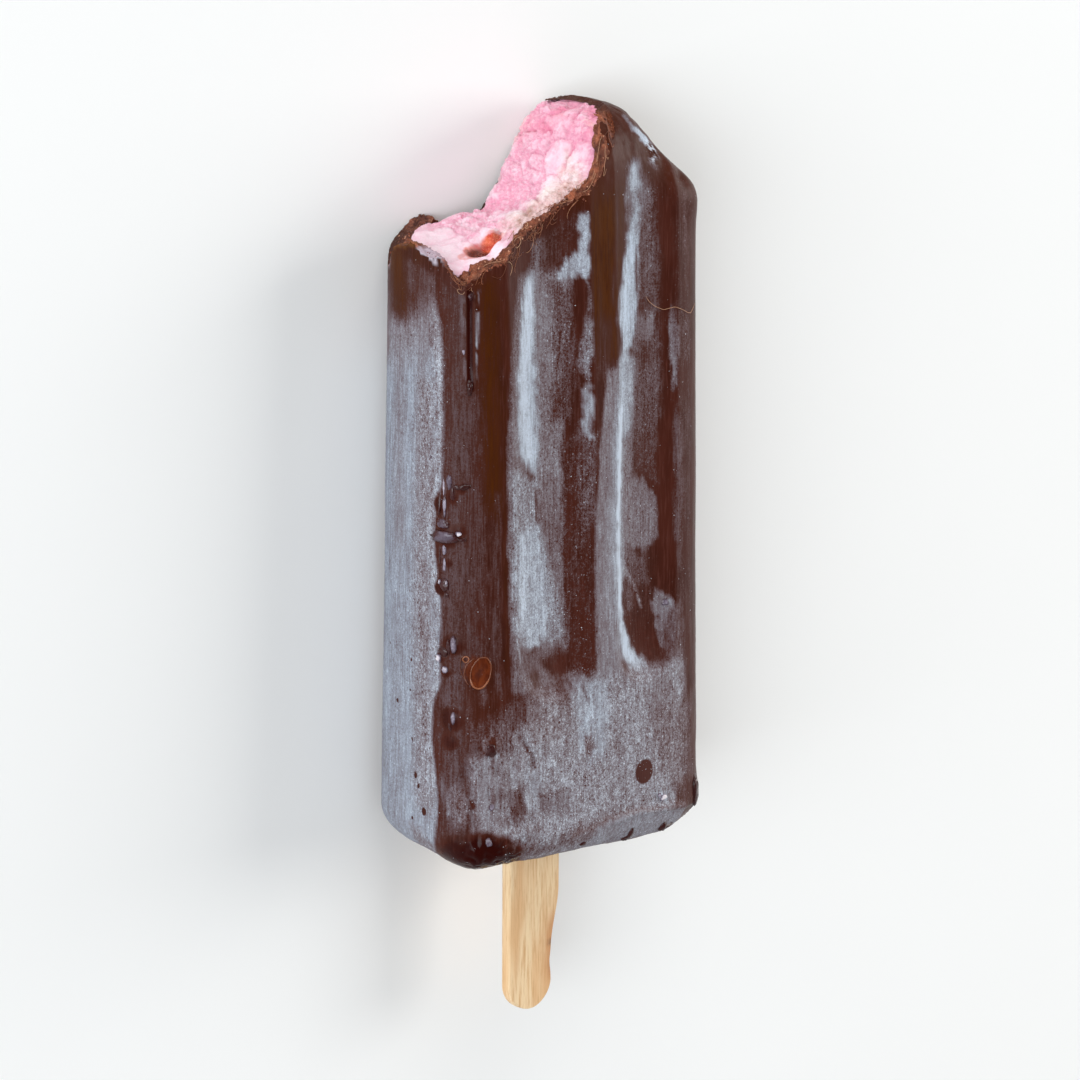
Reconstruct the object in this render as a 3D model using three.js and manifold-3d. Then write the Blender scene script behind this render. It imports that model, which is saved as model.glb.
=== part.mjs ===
// A chocolate-coated strawberry ice cream bar on a flat wooden stick, with one bite taken
// out of its tip. Millimetres, +Z up.
//
// The bar lies on its back: +Y runs from the stick to the tip, +X to the bar's right and
// +Z out of its front. Three solids make it up:
//   chocolate_coating  the shell, broken open by the bite, with a slot where the stick enters
//   ice_cream_core     the filling inside the shell, bitten through with it
//   wooden_stick       the stick, most of it sunk in the core
//
// The bar itself is drawn in its mould frame, whose Y axis is the bar's own mid line, and
// the whole is then tipped by the back face's draft so that it rests flat on that face.
import * as THREE from "three";
import { mergeVertices } from "three/addons/utils/BufferGeometryUtils.js";
import Module from "manifold-3d";

const wasm = await Module();
wasm.setup();

// ---- the moulded bar ----
const BAR_LENGTH = 107.5; // foot to tip, before the bite
const FOOT_HALF_WIDTH = 23.6;
const TIP_HALF_WIDTH = 22.6; // the sides draw in by the mould's draft
const FOOT_HALF_DEPTH = 13.5;
const TIP_HALF_DEPTH = 10.5;
const SECTION_POWER = 3.76; // squareness of the cross-section
const FOOT_ROUND = 5.25; // edge radius at the stick end
const FOOT_SLANT_X = -0.072; // the foot isn't square: it hangs lower on the right
const FOOT_SLANT_Z = -0.02;
const FOOT_SLANT_REACH = 36.75;
const TIP_FLAT_HALF = 9.1; // half width of the tip's flat top
const TIP_SHOULDER = 14.75; // how far down its sloping shoulders reach
const TIP_BLEND = 1.03;
const TIP_TOP_ROUND = 2.6;
const TIP_NOSE = 8.75; // how far the front and back round over towards the tip
const TIP_NOSE_POWER = 2.03;
const BACK_FLAT = 1.05; // the back's crests lie in one plane, this far inside the full depth

// ---- the two flutes on each face, which aren't quite alike ----
const FLUTES = [
  { x: -7.1, halfWidth: 6.9, depth: 1.6 },
  { x: 9.7, halfWidth: 5.8, depth: 1.55 },
];
const FLUTE_SCOOP = 2.4; // power of the scooped section: steepest at the rims
const FLUTE_START = 24.6; // above the foot
const FLUTE_FADE = 6.5; // length over which they run out at the tip

// ---- chocolate that ran down and set at the foot ----
const DRIPS = [
  { x: -20.4, y: 2.6, z: 9.4, reach: 6.0, out: 0.95 }, // glossy drop at the front left corner
  { x: 22.2, y: 3.2, z: 6.0, reach: 4.4, out: 0.75 }, // small drop at the front right corner
  { x: 15.6, y: -0.4, z: 9.0, reach: 2.6, out: 0.5 },
  { x: 10.6, y: 0.2, z: 9.8, reach: 2.2, out: 0.4 },
];

// ---- shell and clearances ----
const COAT = 1.7; // chocolate thickness
const GAP = 0.3; // between neighbouring solids

// ---- the bite, as a rim height over the width, on the front and on the back face ----
const BITE_LEFT = -21; // where the rim height is read
const BITE_FRONT = { height: 87.2, slope: 0.45, knee: -3.0, soft: 2.5, rise: 0.95 };
const BITE_BACK = { height: 86.4, slope: 0.26, knee: -1.5, soft: 1.25, rise: 1.15 };
const BITE_DEPTH_SPAN = 10; // half depth at which those two rims are read
const BITE_CROWN = 0.7; // the bitten face stands a little proud in the middle
const BITE_CROWN_TOP = 3.2; // and more so where the bite climbs to the tip
const BITE_BUMPS = [
  { x: -23, z: -2, acrossX: 2.6, acrossZ: 7, rise: 3.4 }, // the side wall stands higher
  { x: -15.5, z: -10, acrossX: 3.4, acrossZ: 2.8, rise: 3.2 }, // knob of shell left at the back corner
  { x: -19.2, z: 8.6, acrossX: 2.8, acrossZ: 4, rise: -1.9 }, // low lip at the front corner
  { x: -13.5, z: -5, acrossX: 3.6, acrossZ: 5, rise: 1 }, // mound of ice cream
];

// ---- the stick ----
const STICK_LENGTH = 93;
const STICK_WIDTH = 9.3;
const STICK_THICKNESS = 2.2;
const STICK_OFFSET = -1.72; // off the bar's mid line
const STICK_BELOW = 27.3; // length that shows below the foot
const STICK_WAIST = 1.35; // how far the right edge draws in towards the free end
const STICK_WAIST_FROM = -9;
const STICK_WAIST_TO = -18.5;
const STICK_EDGE = 0.25; // eased edges

const smooth = (a, b, t) => {
  const s = Math.min(1, Math.max(0, (t - a) / (b - a)));
  return s * s * (3 - 2 * s);
};
const clamp01 = (t) => Math.min(1, Math.max(0, t));
const softPlus = (t) => (t > 20 ? t : Math.log1p(Math.exp(t)));

// Half width and half depth of the bar at height y, for a body that is smaller by inset.
function sectionAt(y, inset) {
  const t = y / BAR_LENGTH;
  let a = FOOT_HALF_WIDTH + (TIP_HALF_WIDTH - FOOT_HALF_WIDTH) * t;
  let b = FOOT_HALF_DEPTH + (TIP_HALF_DEPTH - FOOT_HALF_DEPTH) * t;
  a -= inset;
  b -= inset;
  const round = Math.max(FOOT_ROUND - inset, 1);
  const k = clamp01((round - (y - inset)) / round);
  const draw = round * (1 - Math.sqrt(Math.max(0, 1 - k * k)));
  a -= draw;
  b -= draw;
  const d = Math.max(0, BAR_LENGTH - inset - y);
  const shoulder = TIP_FLAT_HALF - inset * 0.4 + ((a - TIP_FLAT_HALF) * d) / TIP_SHOULDER;
  a = -TIP_BLEND * Math.log(Math.exp(-shoulder / TIP_BLEND) + Math.exp(-a / TIP_BLEND));
  const top = 1 - clamp01(1 - d / TIP_TOP_ROUND) ** 2;
  a *= Math.sqrt(Math.max(0, top));
  const nose = Math.max(TIP_NOSE - inset, 2);
  b *= Math.max(0, 1 - clamp01(1 - d / nose) ** TIP_NOSE_POWER) ** (1 / TIP_NOSE_POWER);
  return [Math.max(a, 0), Math.max(b, 0)];
}

// Depth of the flutes at a place on a face.
function fluteAt(x, y) {
  let depth = 0;
  for (const f of FLUTES) {
    const dy = Math.min(0, y - (FLUTE_START + f.halfWidth));
    const t = clamp01(Math.hypot(x - f.x, dy) / f.halfWidth);
    depth = Math.max(depth, f.depth * (1 - t ** FLUTE_SCOOP));
  }
  return depth * smooth(1, FLUTE_FADE + 1, BAR_LENGTH - y);
}

// Angles that space the points of a cross-section evenly along its outline.
function evenAngles(count) {
  const fine = 4000,
    angles = [],
    lengths = [0];
  const at = (k) => {
    const t = (k / fine) * Math.PI * 2;
    return unitSection(t).map((v, i) => v * [FOOT_HALF_WIDTH, FOOT_HALF_DEPTH][i]);
  };
  for (let k = 1; k <= fine; k++) {
    const [p, q] = [at(k - 1), at(k)];
    lengths.push(lengths[k - 1] + Math.hypot(q[0] - p[0], q[1] - p[1]));
  }
  for (let i = 0, k = 0; i < count; i++) {
    const want = (lengths[fine] * i) / count;
    while (lengths[k + 1] < want) k++;
    const share = (want - lengths[k]) / (lengths[k + 1] - lengths[k]);
    angles.push(((k + share) / fine) * Math.PI * 2);
  }
  return angles;
}

function unitSection(t) {
  const c = Math.cos(t),
    s = Math.sin(t),
    e = 2 / SECTION_POWER;
  return [Math.sign(c) * Math.abs(c) ** e, Math.sign(s) * Math.abs(s) ** e];
}

// One point of the bar's skin, inset inwards, at height y and section angle t.
function skinPoint(y, t, inset, shrink = 1) {
  const [a, b] = sectionAt(y, inset);
  const [ux, uz] = unitSection(t);
  const x = a * ux * shrink;
  let z = b * uz * shrink;
  if (shrink === 1) {
    // the flutes follow the face, and the back's crests are cut back to one plane
    const backPlane =
      FOOT_HALF_DEPTH + ((TIP_HALF_DEPTH - FOOT_HALF_DEPTH) * y) / BAR_LENGTH - BACK_FLAT - inset;
    if (z < -backPlane) z = -backPlane;
    const face = Math.abs(z);
    const bite = Math.min(fluteAt(x, y), face * 0.5);
    z -= Math.sign(z) * bite * smooth(0.35, 0.8, Math.abs(uz));
  }
  const slant = (FOOT_SLANT_X * x + FOOT_SLANT_Z * z) * clamp01(1 - y / FOOT_SLANT_REACH);
  const p = new THREE.Vector3(x, y + slant, z);
  if (inset === 0)
    for (const d of DRIPS) {
      const from = new THREE.Vector3(p.x - d.x, p.y - d.y, p.z - d.z);
      const swell = d.out * Math.exp(-((from.length() / (d.reach * 0.6)) ** 2));
      const away = new THREE.Vector3(p.x * 0.4, -9, p.z * 0.8).normalize();
      p.addScaledVector(away, swell);
    }
  return p;
}

// Heights for the rings of a skin: close together at both ends and where the flutes begin.
function ringHeights(low, high, count) {
  const density = (y) =>
    1 +
    7 * Math.exp(-(((y - low) / 4.5) ** 2)) +
    3.2 * Math.exp(-(((y - FLUTE_START - 3) / 6) ** 2)) +
    3.2 * Math.exp(-(((y - high) / 14) ** 2));
  const fine = 2000,
    sums = [0];
  for (let k = 0; k < fine; k++) sums.push(sums[k] + density(low + ((high - low) * (k + 0.5)) / fine));
  const heights = [];
  for (let i = 0, k = 0; i < count; i++) {
    const want = (sums[fine] * i) / count;
    while (sums[k + 1] < want) k++;
    heights.push(low + ((high - low) * (k + (want - sums[k]) / (sums[k + 1] - sums[k]))) / fine);
  }
  return heights;
}

// A closed skin from the foot's middle to the tip.
function barGeometry(inset, ringCount, aroundCount) {
  const angles = evenAngles(aroundCount);
  const low = inset,
    high = BAR_LENGTH - inset;
  const rings = [];
  for (const shrink of [0.35, 0.7]) rings.push(angles.map((t) => skinPoint(low, t, inset, shrink)));
  for (const y of ringHeights(low, high, ringCount)) rings.push(angles.map((t) => skinPoint(y, t, inset)));
  rings.push(angles.map((t) => skinPoint(high - 0.12, t, inset)));
  const foot = new THREE.Vector3(0, low, 0),
    tip = new THREE.Vector3(0, high, 0);
  return closedFromRings(rings, foot, tip);
}

// Joins rings of equal length into one closed geometry, with a pole at each end.
function closedFromRings(rings, first, last) {
  const n = rings[0].length,
    positions = [],
    index = [];
  for (const ring of rings) for (const p of ring) positions.push(p.x, p.y, p.z);
  const a = positions.length / 3;
  positions.push(first.x, first.y, first.z, last.x, last.y, last.z);
  for (let i = 0; i < rings.length - 1; i++)
    for (let j = 0; j < n; j++) {
      const k = (j + 1) % n,
        p = i * n;
      index.push(p + j, p + n + j, p + k, p + k, p + n + j, p + n + k);
    }
  for (let j = 0; j < n; j++) {
    const k = (j + 1) % n,
      p = (rings.length - 1) * n;
    index.push(a, j, k, a + 1, p + k, p + j);
  }
  const g = new THREE.BufferGeometry();
  g.setAttribute("position", new THREE.Float32BufferAttribute(positions, 3));
  g.setIndex(index);
  return g;
}

// The same skin moved inwards along its own normals.
function drawnIn(geometry, distance) {
  const g = geometry.clone();
  g.computeVertexNormals();
  const p = g.attributes.position,
    n = g.attributes.normal;
  for (let i = 0; i < p.count; i++)
    p.setXYZ(
      i,
      p.getX(i) - n.getX(i) * distance,
      p.getY(i) - n.getY(i) * distance,
      p.getZ(i) - n.getZ(i) * distance,
    );
  return g;
}

// Height of the bite's surface at a place across the width (x) and the depth (z).
function biteHeight(x, z) {
  const m = clamp01(0.5 + (0.5 * z) / BITE_DEPTH_SPAN);
  const mix = (key) => BITE_BACK[key] + (BITE_FRONT[key] - BITE_BACK[key]) * m;
  const proud = BITE_CROWN + (BITE_CROWN_TOP - BITE_CROWN) * smooth(-3, 3, x);
  const bumps = BITE_BUMPS.map(
    (k) => k.rise * Math.exp(-(((x - k.x) / k.acrossX) ** 2) - ((z - k.z) / k.acrossZ) ** 2),
  );
  return (
    mix("height") +
    mix("slope") * (x - BITE_LEFT) +
    mix("rise") * mix("soft") * softPlus((x - mix("knee")) / mix("soft")) +
    proud * Math.max(0, 1 - (z / BITE_DEPTH_SPAN) ** 2) +
    bumps.reduce((sum, v) => sum + v, 0)
  );
}

// The space that the bite took: everything above its surface.
function biteGeometry() {
  const across = 34,
    depth = 14,
    reachX = 26,
    reachZ = 16,
    ceiling = 150;
  const rings = [];
  for (let i = 0; i <= depth; i++) {
    const z = reachZ - (2 * reachZ * i) / depth;
    const ring = [];
    for (let j = 0; j <= across; j++) {
      const x = -reachX + (2 * reachX * j) / across;
      ring.push(new THREE.Vector3(x, Math.min(biteHeight(x, z), ceiling - 1), z));
    }
    ring.push(new THREE.Vector3(reachX, ceiling, z), new THREE.Vector3(-reachX, ceiling, z));
    rings.push(ring);
  }
  return closedFromRings(rings, new THREE.Vector3(0, ceiling - 5, reachZ), new THREE.Vector3(0, ceiling - 5, -reachZ));
}

// The stick, or the slot around it when grown.
function stickGeometry(grow) {
  const half = STICK_WIDTH / 2 + grow,
    low = -STICK_BELOW - grow,
    high = STICK_LENGTH - STICK_BELOW + grow;
  const inward = (y) => STICK_WAIST * (1 - smooth(STICK_WAIST_TO, STICK_WAIST_FROM, y));
  const outline = new THREE.Shape();
  const turn = 10;
  const lowHalf = half - STICK_WAIST / 2;
  // round free end, a little off the middle because of the drawn-in edge
  for (let i = 0; i <= turn; i++) {
    const t = Math.PI + (Math.PI * i) / turn;
    const x = -STICK_WAIST / 2 + lowHalf * Math.cos(t),
      y = low + lowHalf + lowHalf * Math.sin(t);
    i ? outline.lineTo(x, y) : outline.moveTo(x, y);
  }
  const steps = 8;
  for (let i = 0; i <= steps; i++) {
    const y = STICK_WAIST_TO - 1 + (STICK_WAIST_FROM + 2 - STICK_WAIST_TO) * (i / steps);
    outline.lineTo(half - inward(y), y);
  }
  for (let i = 0; i <= turn; i++) {
    const t = (Math.PI * i) / turn;
    outline.lineTo(half * Math.cos(t), high - half + half * Math.sin(t));
  }
  outline.closePath();
  const edge = grow > 0 ? 0 : STICK_EDGE;
  const g = new THREE.ExtrudeGeometry(outline, {
    depth: STICK_THICKNESS + 2 * grow - 2 * edge,
    bevelEnabled: edge > 0,
    bevelThickness: edge,
    bevelSize: edge,
    bevelOffset: -edge,
    bevelSegments: 1,
    steps: 1,
  });
  g.translate(STICK_OFFSET, 0, -STICK_THICKNESS / 2 - grow + edge);
  return g;
}

const toSolid = (geometry) => {
  const g = geometry.index ? geometry.toNonIndexed() : geometry.clone();
  g.deleteAttribute("normal");
  g.deleteAttribute("uv");
  const merged = mergeVertices(g, 1e-4);
  return new wasm.Manifold(
    new wasm.Mesh({
      numProp: 3,
      vertProperties: new Float32Array(merged.attributes.position.array),
      triVerts: new Uint32Array(merged.index.array),
    }),
  );
};
const toGeometry = (solid) => {
  const m = solid.getMesh(),
    positions = new Float32Array(m.numVert * 3);
  for (let i = 0; i < m.numVert; i++)
    positions.set(m.vertProperties.subarray(i * m.numProp, i * m.numProp + 3), i * 3);
  const g = new THREE.BufferGeometry();
  g.setAttribute("position", new THREE.BufferAttribute(positions, 3));
  g.setIndex(new THREE.BufferAttribute(new Uint32Array(m.triVerts), 1));
  g.computeVertexNormals();
  return g;
};

// The back face leans by the mould's draft; this is the slope that levels it.
const lean = Math.atan((FOOT_HALF_DEPTH - TIP_HALF_DEPTH) / BAR_LENGTH);
// Trims the back's crests to true flats that share one plane.
const TRIM = 0.12;
function restPlane() {
  const block = new THREE.BoxGeometry(80, 300, 40);
  block.translate(0, 50, -20);
  block.rotateX(lean);
  block.translate(0, 0, -(FOOT_HALF_DEPTH - BACK_FLAT - TRIM));
  return toSolid(block);
}

const bite = toSolid(biteGeometry());
const slot = toSolid(stickGeometry(GAP));
const coating = toSolid(barGeometry(0, 42, 54))
  .subtract(toSolid(barGeometry(COAT, 26, 34)))
  .subtract(bite)
  .subtract(slot)
  .subtract(restPlane());
const core = toSolid(drawnIn(barGeometry(COAT, 26, 34), GAP)).subtract(bite).subtract(slot);

const chocolate = new THREE.MeshStandardMaterial({ color: 0x4a2a22, roughness: 0.42, metalness: 0 });
const strawberry = new THREE.MeshStandardMaterial({ color: 0xf4b9d0, roughness: 0.62, metalness: 0 });
const birch = new THREE.MeshStandardMaterial({ color: 0xe0bf91, roughness: 0.7, metalness: 0 });

const mesh = (name, geometry, material) => {
  const m = new THREE.Mesh(geometry, material);
  m.name = name;
  return m;
};

const bar = new THREE.Group();
bar.add(
  mesh("chocolate_coating", toGeometry(coating), chocolate),
  mesh("ice_cream_core", toGeometry(core), strawberry),
  mesh("wooden_stick", stickGeometry(0), birch),
);
bar.rotation.x = -lean;

// The origin is the middle of the bar's footprint, on the surface it lies on.
const part = new THREE.Group();
part.add(bar);
part.updateMatrixWorld(true);
const box = new THREE.Box3().setFromObject(part, true);
bar.position.set(-(box.min.x + box.max.x) / 2, -(box.min.y + box.max.y) / 2, -box.min.z);

export default part;
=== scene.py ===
"""A bitten, chocolate-coated strawberry ice cream bar on a wooden stick, lying on its back.

Lengths are in millimetres in the bar's own mould frame (X across, Y from foot to tip, Z out of
the front face) until `to_row` turns them into the shared frame, in metres.
"""
import math

import bpy
import numpy as np
from mathutils import Matrix, Vector


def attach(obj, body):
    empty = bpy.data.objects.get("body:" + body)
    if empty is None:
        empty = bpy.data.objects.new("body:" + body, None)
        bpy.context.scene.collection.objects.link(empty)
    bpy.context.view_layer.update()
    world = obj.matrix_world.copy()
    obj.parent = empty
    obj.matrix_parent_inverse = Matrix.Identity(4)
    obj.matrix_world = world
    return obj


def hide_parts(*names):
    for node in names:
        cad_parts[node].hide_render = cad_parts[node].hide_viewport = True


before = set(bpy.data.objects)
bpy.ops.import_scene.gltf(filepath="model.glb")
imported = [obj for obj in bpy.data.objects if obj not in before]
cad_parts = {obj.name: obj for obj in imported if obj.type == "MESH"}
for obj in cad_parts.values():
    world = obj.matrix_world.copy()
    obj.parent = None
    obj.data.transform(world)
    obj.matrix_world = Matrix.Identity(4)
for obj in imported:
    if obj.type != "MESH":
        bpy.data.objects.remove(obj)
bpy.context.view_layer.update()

# ------------------------------------------------------------------ the mould frame
BAR_LENGTH = 107.5
FOOT_A, TIP_A = 23.6, 22.6      # half widths
FOOT_B, TIP_B = 13.5, 10.5      # half depths
POWER = 3.76
FOOT_ROUND = 5.25
SLANT_X, SLANT_Z, SLANT_REACH = -0.072, -0.02, 36.75
TIP_FLAT, TIP_SHOULDER, TIP_BLEND = 9.1, 14.75, 1.03
TIP_TOP_ROUND, TIP_NOSE, TIP_NOSE_POWER = 2.6, 8.75, 2.03
BACK_FLAT, TRIM = 1.05, 0.12
COAT = 1.7
FLUTES = ((-7.1, 6.9, 1.6), (9.7, 5.8, 1.55))   # centre, half width, depth
FLUTE_START = 24.6

LEAN = math.atan((FOOT_B - TIP_B) / BAR_LENGTH)
ROOT_SHIFT = np.array([-0.10033130645751953, -39.83656021026811, 12.32520209344905])
_c, _s = math.cos(-LEAN), math.sin(-LEAN)
ROT = np.array([[1, 0, 0], [0, _c, -_s], [0, _s, _c]])


def to_row(p):
    return (np.asarray(p, float) @ ROT.T + ROOT_SHIFT) * 0.001


def to_mould(p):
    return (np.asarray(p, float) * 1000.0 - ROOT_SHIFT) @ ROT


# ------------------------------------------------------------------ noise, all seeded by place
def _hash(i, j, k, seed):
    m = np.uint64(0xFFFFFFFF)
    h = (i.astype(np.uint64) * np.uint64(374761393) + j.astype(np.uint64) * np.uint64(668265263)
         + k.astype(np.uint64) * np.uint64(2246822519) + np.uint64(seed) * np.uint64(3266489917)) & m
    h = ((h ^ (h >> np.uint64(15))) * np.uint64(2246822519)) & m
    h = ((h ^ (h >> np.uint64(13))) * np.uint64(3266489917)) & m
    h = h ^ (h >> np.uint64(16))
    return h.astype(np.float64) / 4294967296.0


def noise(p, seed=0):
    """Smooth value noise in -1..1 at points (N, 3)."""
    p = np.asarray(p, float) + 1000.0
    base = np.floor(p)
    f = p - base
    b = base.astype(np.int64)
    u = f * f * f * (f * (f * 6 - 15) + 10)
    out = np.zeros(len(p))
    for di in (0, 1):
        wx = u[:, 0] if di else 1 - u[:, 0]
        for dj in (0, 1):
            wy = u[:, 1] if dj else 1 - u[:, 1]
            for dk in (0, 1):
                wz = u[:, 2] if dk else 1 - u[:, 2]
                out += wx * wy * wz * _hash(b[:, 0] + di, b[:, 1] + dj, b[:, 2] + dk, seed)
    return out * 2 - 1


def fbm(p, octaves=3, seed=0, gain=0.5):
    out, amp, total = 0.0, 1.0, 0.0
    p = np.asarray(p, float)
    for o in range(octaves):
        out = out + amp * noise(p * (2.03 ** o), seed + 17 * o)
        total += amp
        amp *= gain
    return out / total


def cells(p, seed=0):
    """Distances to the nearest and second nearest scattered points, in cell sizes."""
    p = np.asarray(p, float) + 500.0
    base = np.floor(p).astype(np.int64)
    f1 = np.full(len(p), 9.0)
    f2 = np.full(len(p), 9.0)
    for di in (-1, 0, 1):
        for dj in (-1, 0, 1):
            for dk in (-1, 0, 1):
                c = base + np.array([di, dj, dk])
                q = np.stack([_hash(c[:, 0], c[:, 1], c[:, 2], seed + s) for s in (1, 2, 3)], 1)
                d = np.linalg.norm(p - (c + q), axis=1)
                f2 = np.where(d < f1, f1, np.minimum(f2, d))
                f1 = np.minimum(f1, d)
    return f1, f2


def smooth(a, b, t):
    s = np.clip((np.asarray(t, float) - a) / (b - a), 0, 1)
    return s * s * (3 - 2 * s)


def gauss(t):
    return np.exp(-np.asarray(t, float) ** 2)


# ------------------------------------------------------------------ the bar's skin
def section(y, inset=0.0):
    y = np.asarray(y, float)
    t = y / BAR_LENGTH
    a = FOOT_A + (TIP_A - FOOT_A) * t - inset
    b = FOOT_B + (TIP_B - FOOT_B) * t - inset
    r = max(FOOT_ROUND - inset, 1.0)
    k = np.clip((r - (y - inset)) / r, 0, 1)
    draw = r * (1 - np.sqrt(np.clip(1 - k * k, 0, 1)))
    a = a - draw
    b = b - draw
    d = np.clip(BAR_LENGTH - inset - y, 0, None)
    shoulder = TIP_FLAT - inset * 0.4 + (a - TIP_FLAT) * d / TIP_SHOULDER
    a = -TIP_BLEND * np.log(np.exp(-shoulder / TIP_BLEND) + np.exp(-a / TIP_BLEND))
    a = a * np.sqrt(np.clip(1 - np.clip(1 - d / TIP_TOP_ROUND, 0, 1) ** 2, 0, 1))
    nose = max(TIP_NOSE - inset, 2.0)
    b = b * np.clip(1 - np.clip(1 - d / nose, 0, 1) ** TIP_NOSE_POWER, 0, 1) ** (1 / TIP_NOSE_POWER)
    return np.maximum(a, 0), np.maximum(b, 0)


def unit_section(t):
    c, s, e = np.cos(t), np.sin(t), 2 / POWER
    return np.sign(c) * np.abs(c) ** e, np.sign(s) * np.abs(s) ** e


def even_angles(n, front=1.0):
    """Section angles evenly spaced along the outline, closer together by `front` on the front and left."""
    t = np.linspace(0, 2 * math.pi, 8001)
    x, z = unit_section(t)
    x, z = x * FOOT_A, z * FOOT_B
    step = np.hypot(np.diff(x), np.diff(z))
    xm, zm = 0.5 * (x[1:] + x[:-1]), 0.5 * (z[1:] + z[:-1])
    near = np.maximum(smooth(3.0, 8.0, zm), smooth(0, -12, xm) * smooth(-9.5, -4.0, zm))
    s = np.concatenate([[0], np.cumsum(step * (1 + (front - 1) * near))])
    return np.interp(np.arange(n) / n * s[-1], s, t)


def flute_depth(x, y):
    """Scooped flutes: steepest at their rims, flat along the middle, round at the lower end."""
    depth = np.zeros_like(x)
    for cx, half, deep in FLUTES:
        wander = 0.35 * np.sin(y / 17.0 + cx)
        dx = (x - cx - wander) / half
        dy = np.minimum(0, y - (FLUTE_START + half)) / half
        t = np.hypot(dx, dy)
        scoop = np.clip(1 - np.clip(t, 0, 1) ** 2.4, 0, 1)
        soft = 0.06
        scoop = np.where(t < 1.15, 0.5 * (scoop + np.sqrt(scoop ** 2 + soft ** 2)) - 0.5 * soft, 0)
        depth = np.maximum(depth, deep * np.clip(scoop, 0, None))
    return depth * smooth(1.0, 7.5, BAR_LENGTH - y)


def skin(y, t, inset=0.0, shrink=1.0):
    """Points of the bar's skin at heights y and section angles t (same shape arrays)."""
    a, b = section(y, inset)
    ux, uz = unit_section(t)
    x = a * ux * shrink
    z = b * uz * shrink
    plane = FOOT_B + (TIP_B - FOOT_B) * y / BAR_LENGTH - BACK_FLAT - inset
    # the back's crests are soft but lie in one plane
    lim = plane - TRIM * (inset == 0)
    over = np.clip(-z - (lim - 0.6), 0, None)
    z = np.where(over > 0, -(lim - 0.6) - 0.6 * np.tanh(over / 0.6), z)
    deep = np.minimum(flute_depth(x, y), np.abs(z) * 0.5) * smooth(0.35, 0.8, np.abs(uz))
    z = z - np.sign(z) * deep
    slant = (SLANT_X * x + SLANT_Z * z) * np.clip(1 - y / SLANT_REACH, 0, 1)
    return np.stack([x, y + slant, z], -1)


def ring_heights(low, high, n, foot=7.0, flute=1.2, tip=2.2):
    y = np.linspace(low, high, 4001)
    mid = 0.5 * (y[1:] + y[:-1])
    dens = (1 + foot * gauss((mid - low) / 4.0) + flute * gauss((mid - FLUTE_START - 3) / 6)
            + tip * gauss((mid - high) / 14))
    s = np.concatenate([[0], np.cumsum(dens)])
    return np.interp(np.arange(n) / n * s[-1], s, y)


def ring_faces(nr, n):
    """Quads between nr rings of n points, wound to face out."""
    i = np.arange(nr - 1)[:, None] * n
    j = np.arange(n)[None, :]
    k = (j + 1) % n
    q = np.stack([i + j, i + n + j, i + n + k, i + k], -1)
    return q.reshape(-1, 4)


def new_mesh(name, verts, quads=None, tris=None, mats=()):
    """A mesh from arrays; verts stay in whatever unit they come in."""
    quads = np.zeros((0, 4), int) if quads is None else np.asarray(quads)
    tris = np.zeros((0, 3), int) if tris is None else np.asarray(tris)
    me = bpy.data.meshes.new(name)
    me.vertices.add(len(verts))
    me.vertices.foreach_set("co", np.asarray(verts, np.float32).ravel())
    loops = np.concatenate([quads.ravel(), tris.ravel()]).astype(np.int32)
    me.loops.add(len(loops))
    me.loops.foreach_set("vertex_index", loops)
    sizes = np.concatenate([np.full(len(quads), 4), np.full(len(tris), 3)]).astype(np.int32)
    starts = np.concatenate([[0], np.cumsum(sizes)[:-1]]).astype(np.int32)
    me.polygons.add(len(sizes))
    me.polygons.foreach_set("loop_start", starts)
    me.polygons.foreach_set("loop_total", sizes)
    for m in mats:
        me.materials.append(m)
    me.update(calc_edges=True)
    me.validate()
    return me


def new_object(name, me):
    o = bpy.data.objects.new(name, me)
    bpy.context.scene.collection.objects.link(o)
    return o


def drop(o):
    me = o.data
    bpy.data.objects.remove(o)
    bpy.data.meshes.remove(me)


def cut(obj, cutter, op="DIFFERENCE"):
    """The mesh of obj cut by cutter; both are closed."""
    m = obj.modifiers.new("cut", "BOOLEAN")
    m.operation, m.object, m.solver = op, cutter, "MANIFOLD"
    if hasattr(m, "material_mode"):
        m.material_mode = "INDEX"
    dg = bpy.context.evaluated_depsgraph_get()
    dg.update()
    me = bpy.data.meshes.new_from_object(obj.evaluated_get(dg))
    obj.modifiers.remove(m)
    old = obj.data
    obj.data = me
    bpy.data.meshes.remove(old)
    return obj


def coords(me):
    co = np.empty(len(me.vertices) * 3, np.float32)
    me.vertices.foreach_get("co", co)
    return co.reshape(-1, 3).astype(float)


def set_coords(me, co):
    me.vertices.foreach_set("co", np.asarray(co, np.float32).ravel())
    me.update()


def normals(me):
    n = np.empty(len(me.vertices) * 3, np.float32)
    me.vertices.foreach_get("normal", n)
    return n.reshape(-1, 3).astype(float)


def set_attr(me, name, values):
    a = me.attributes.new(name, "FLOAT", "POINT")
    a.data.foreach_set("value", np.asarray(values, np.float32))


def face_material(me):
    k = np.empty(len(me.polygons), np.int32)
    me.polygons.foreach_get("material_index", k)
    return k


def cut_vertices(me):
    """True for the vertices that lie on a face made by a cut (material 1)."""
    k = face_material(me)
    loops = np.empty(len(me.loops), np.int32)
    me.loops.foreach_get("vertex_index", loops)
    total = np.empty(len(me.polygons), np.int32)
    me.polygons.foreach_get("loop_total", total)
    hit = np.zeros(len(me.vertices), bool)
    skin_hit = np.zeros(len(me.vertices), bool)
    which = np.repeat(k, total)
    hit[loops[which == 1]] = True
    skin_hit[loops[which == 0]] = True
    return hit, skin_hit


def smooth_shade(me, angle):
    me.polygons.foreach_set("use_smooth", np.ones(len(me.polygons), bool))
    me.set_sharp_from_angle(angle=math.radians(angle))


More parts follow.
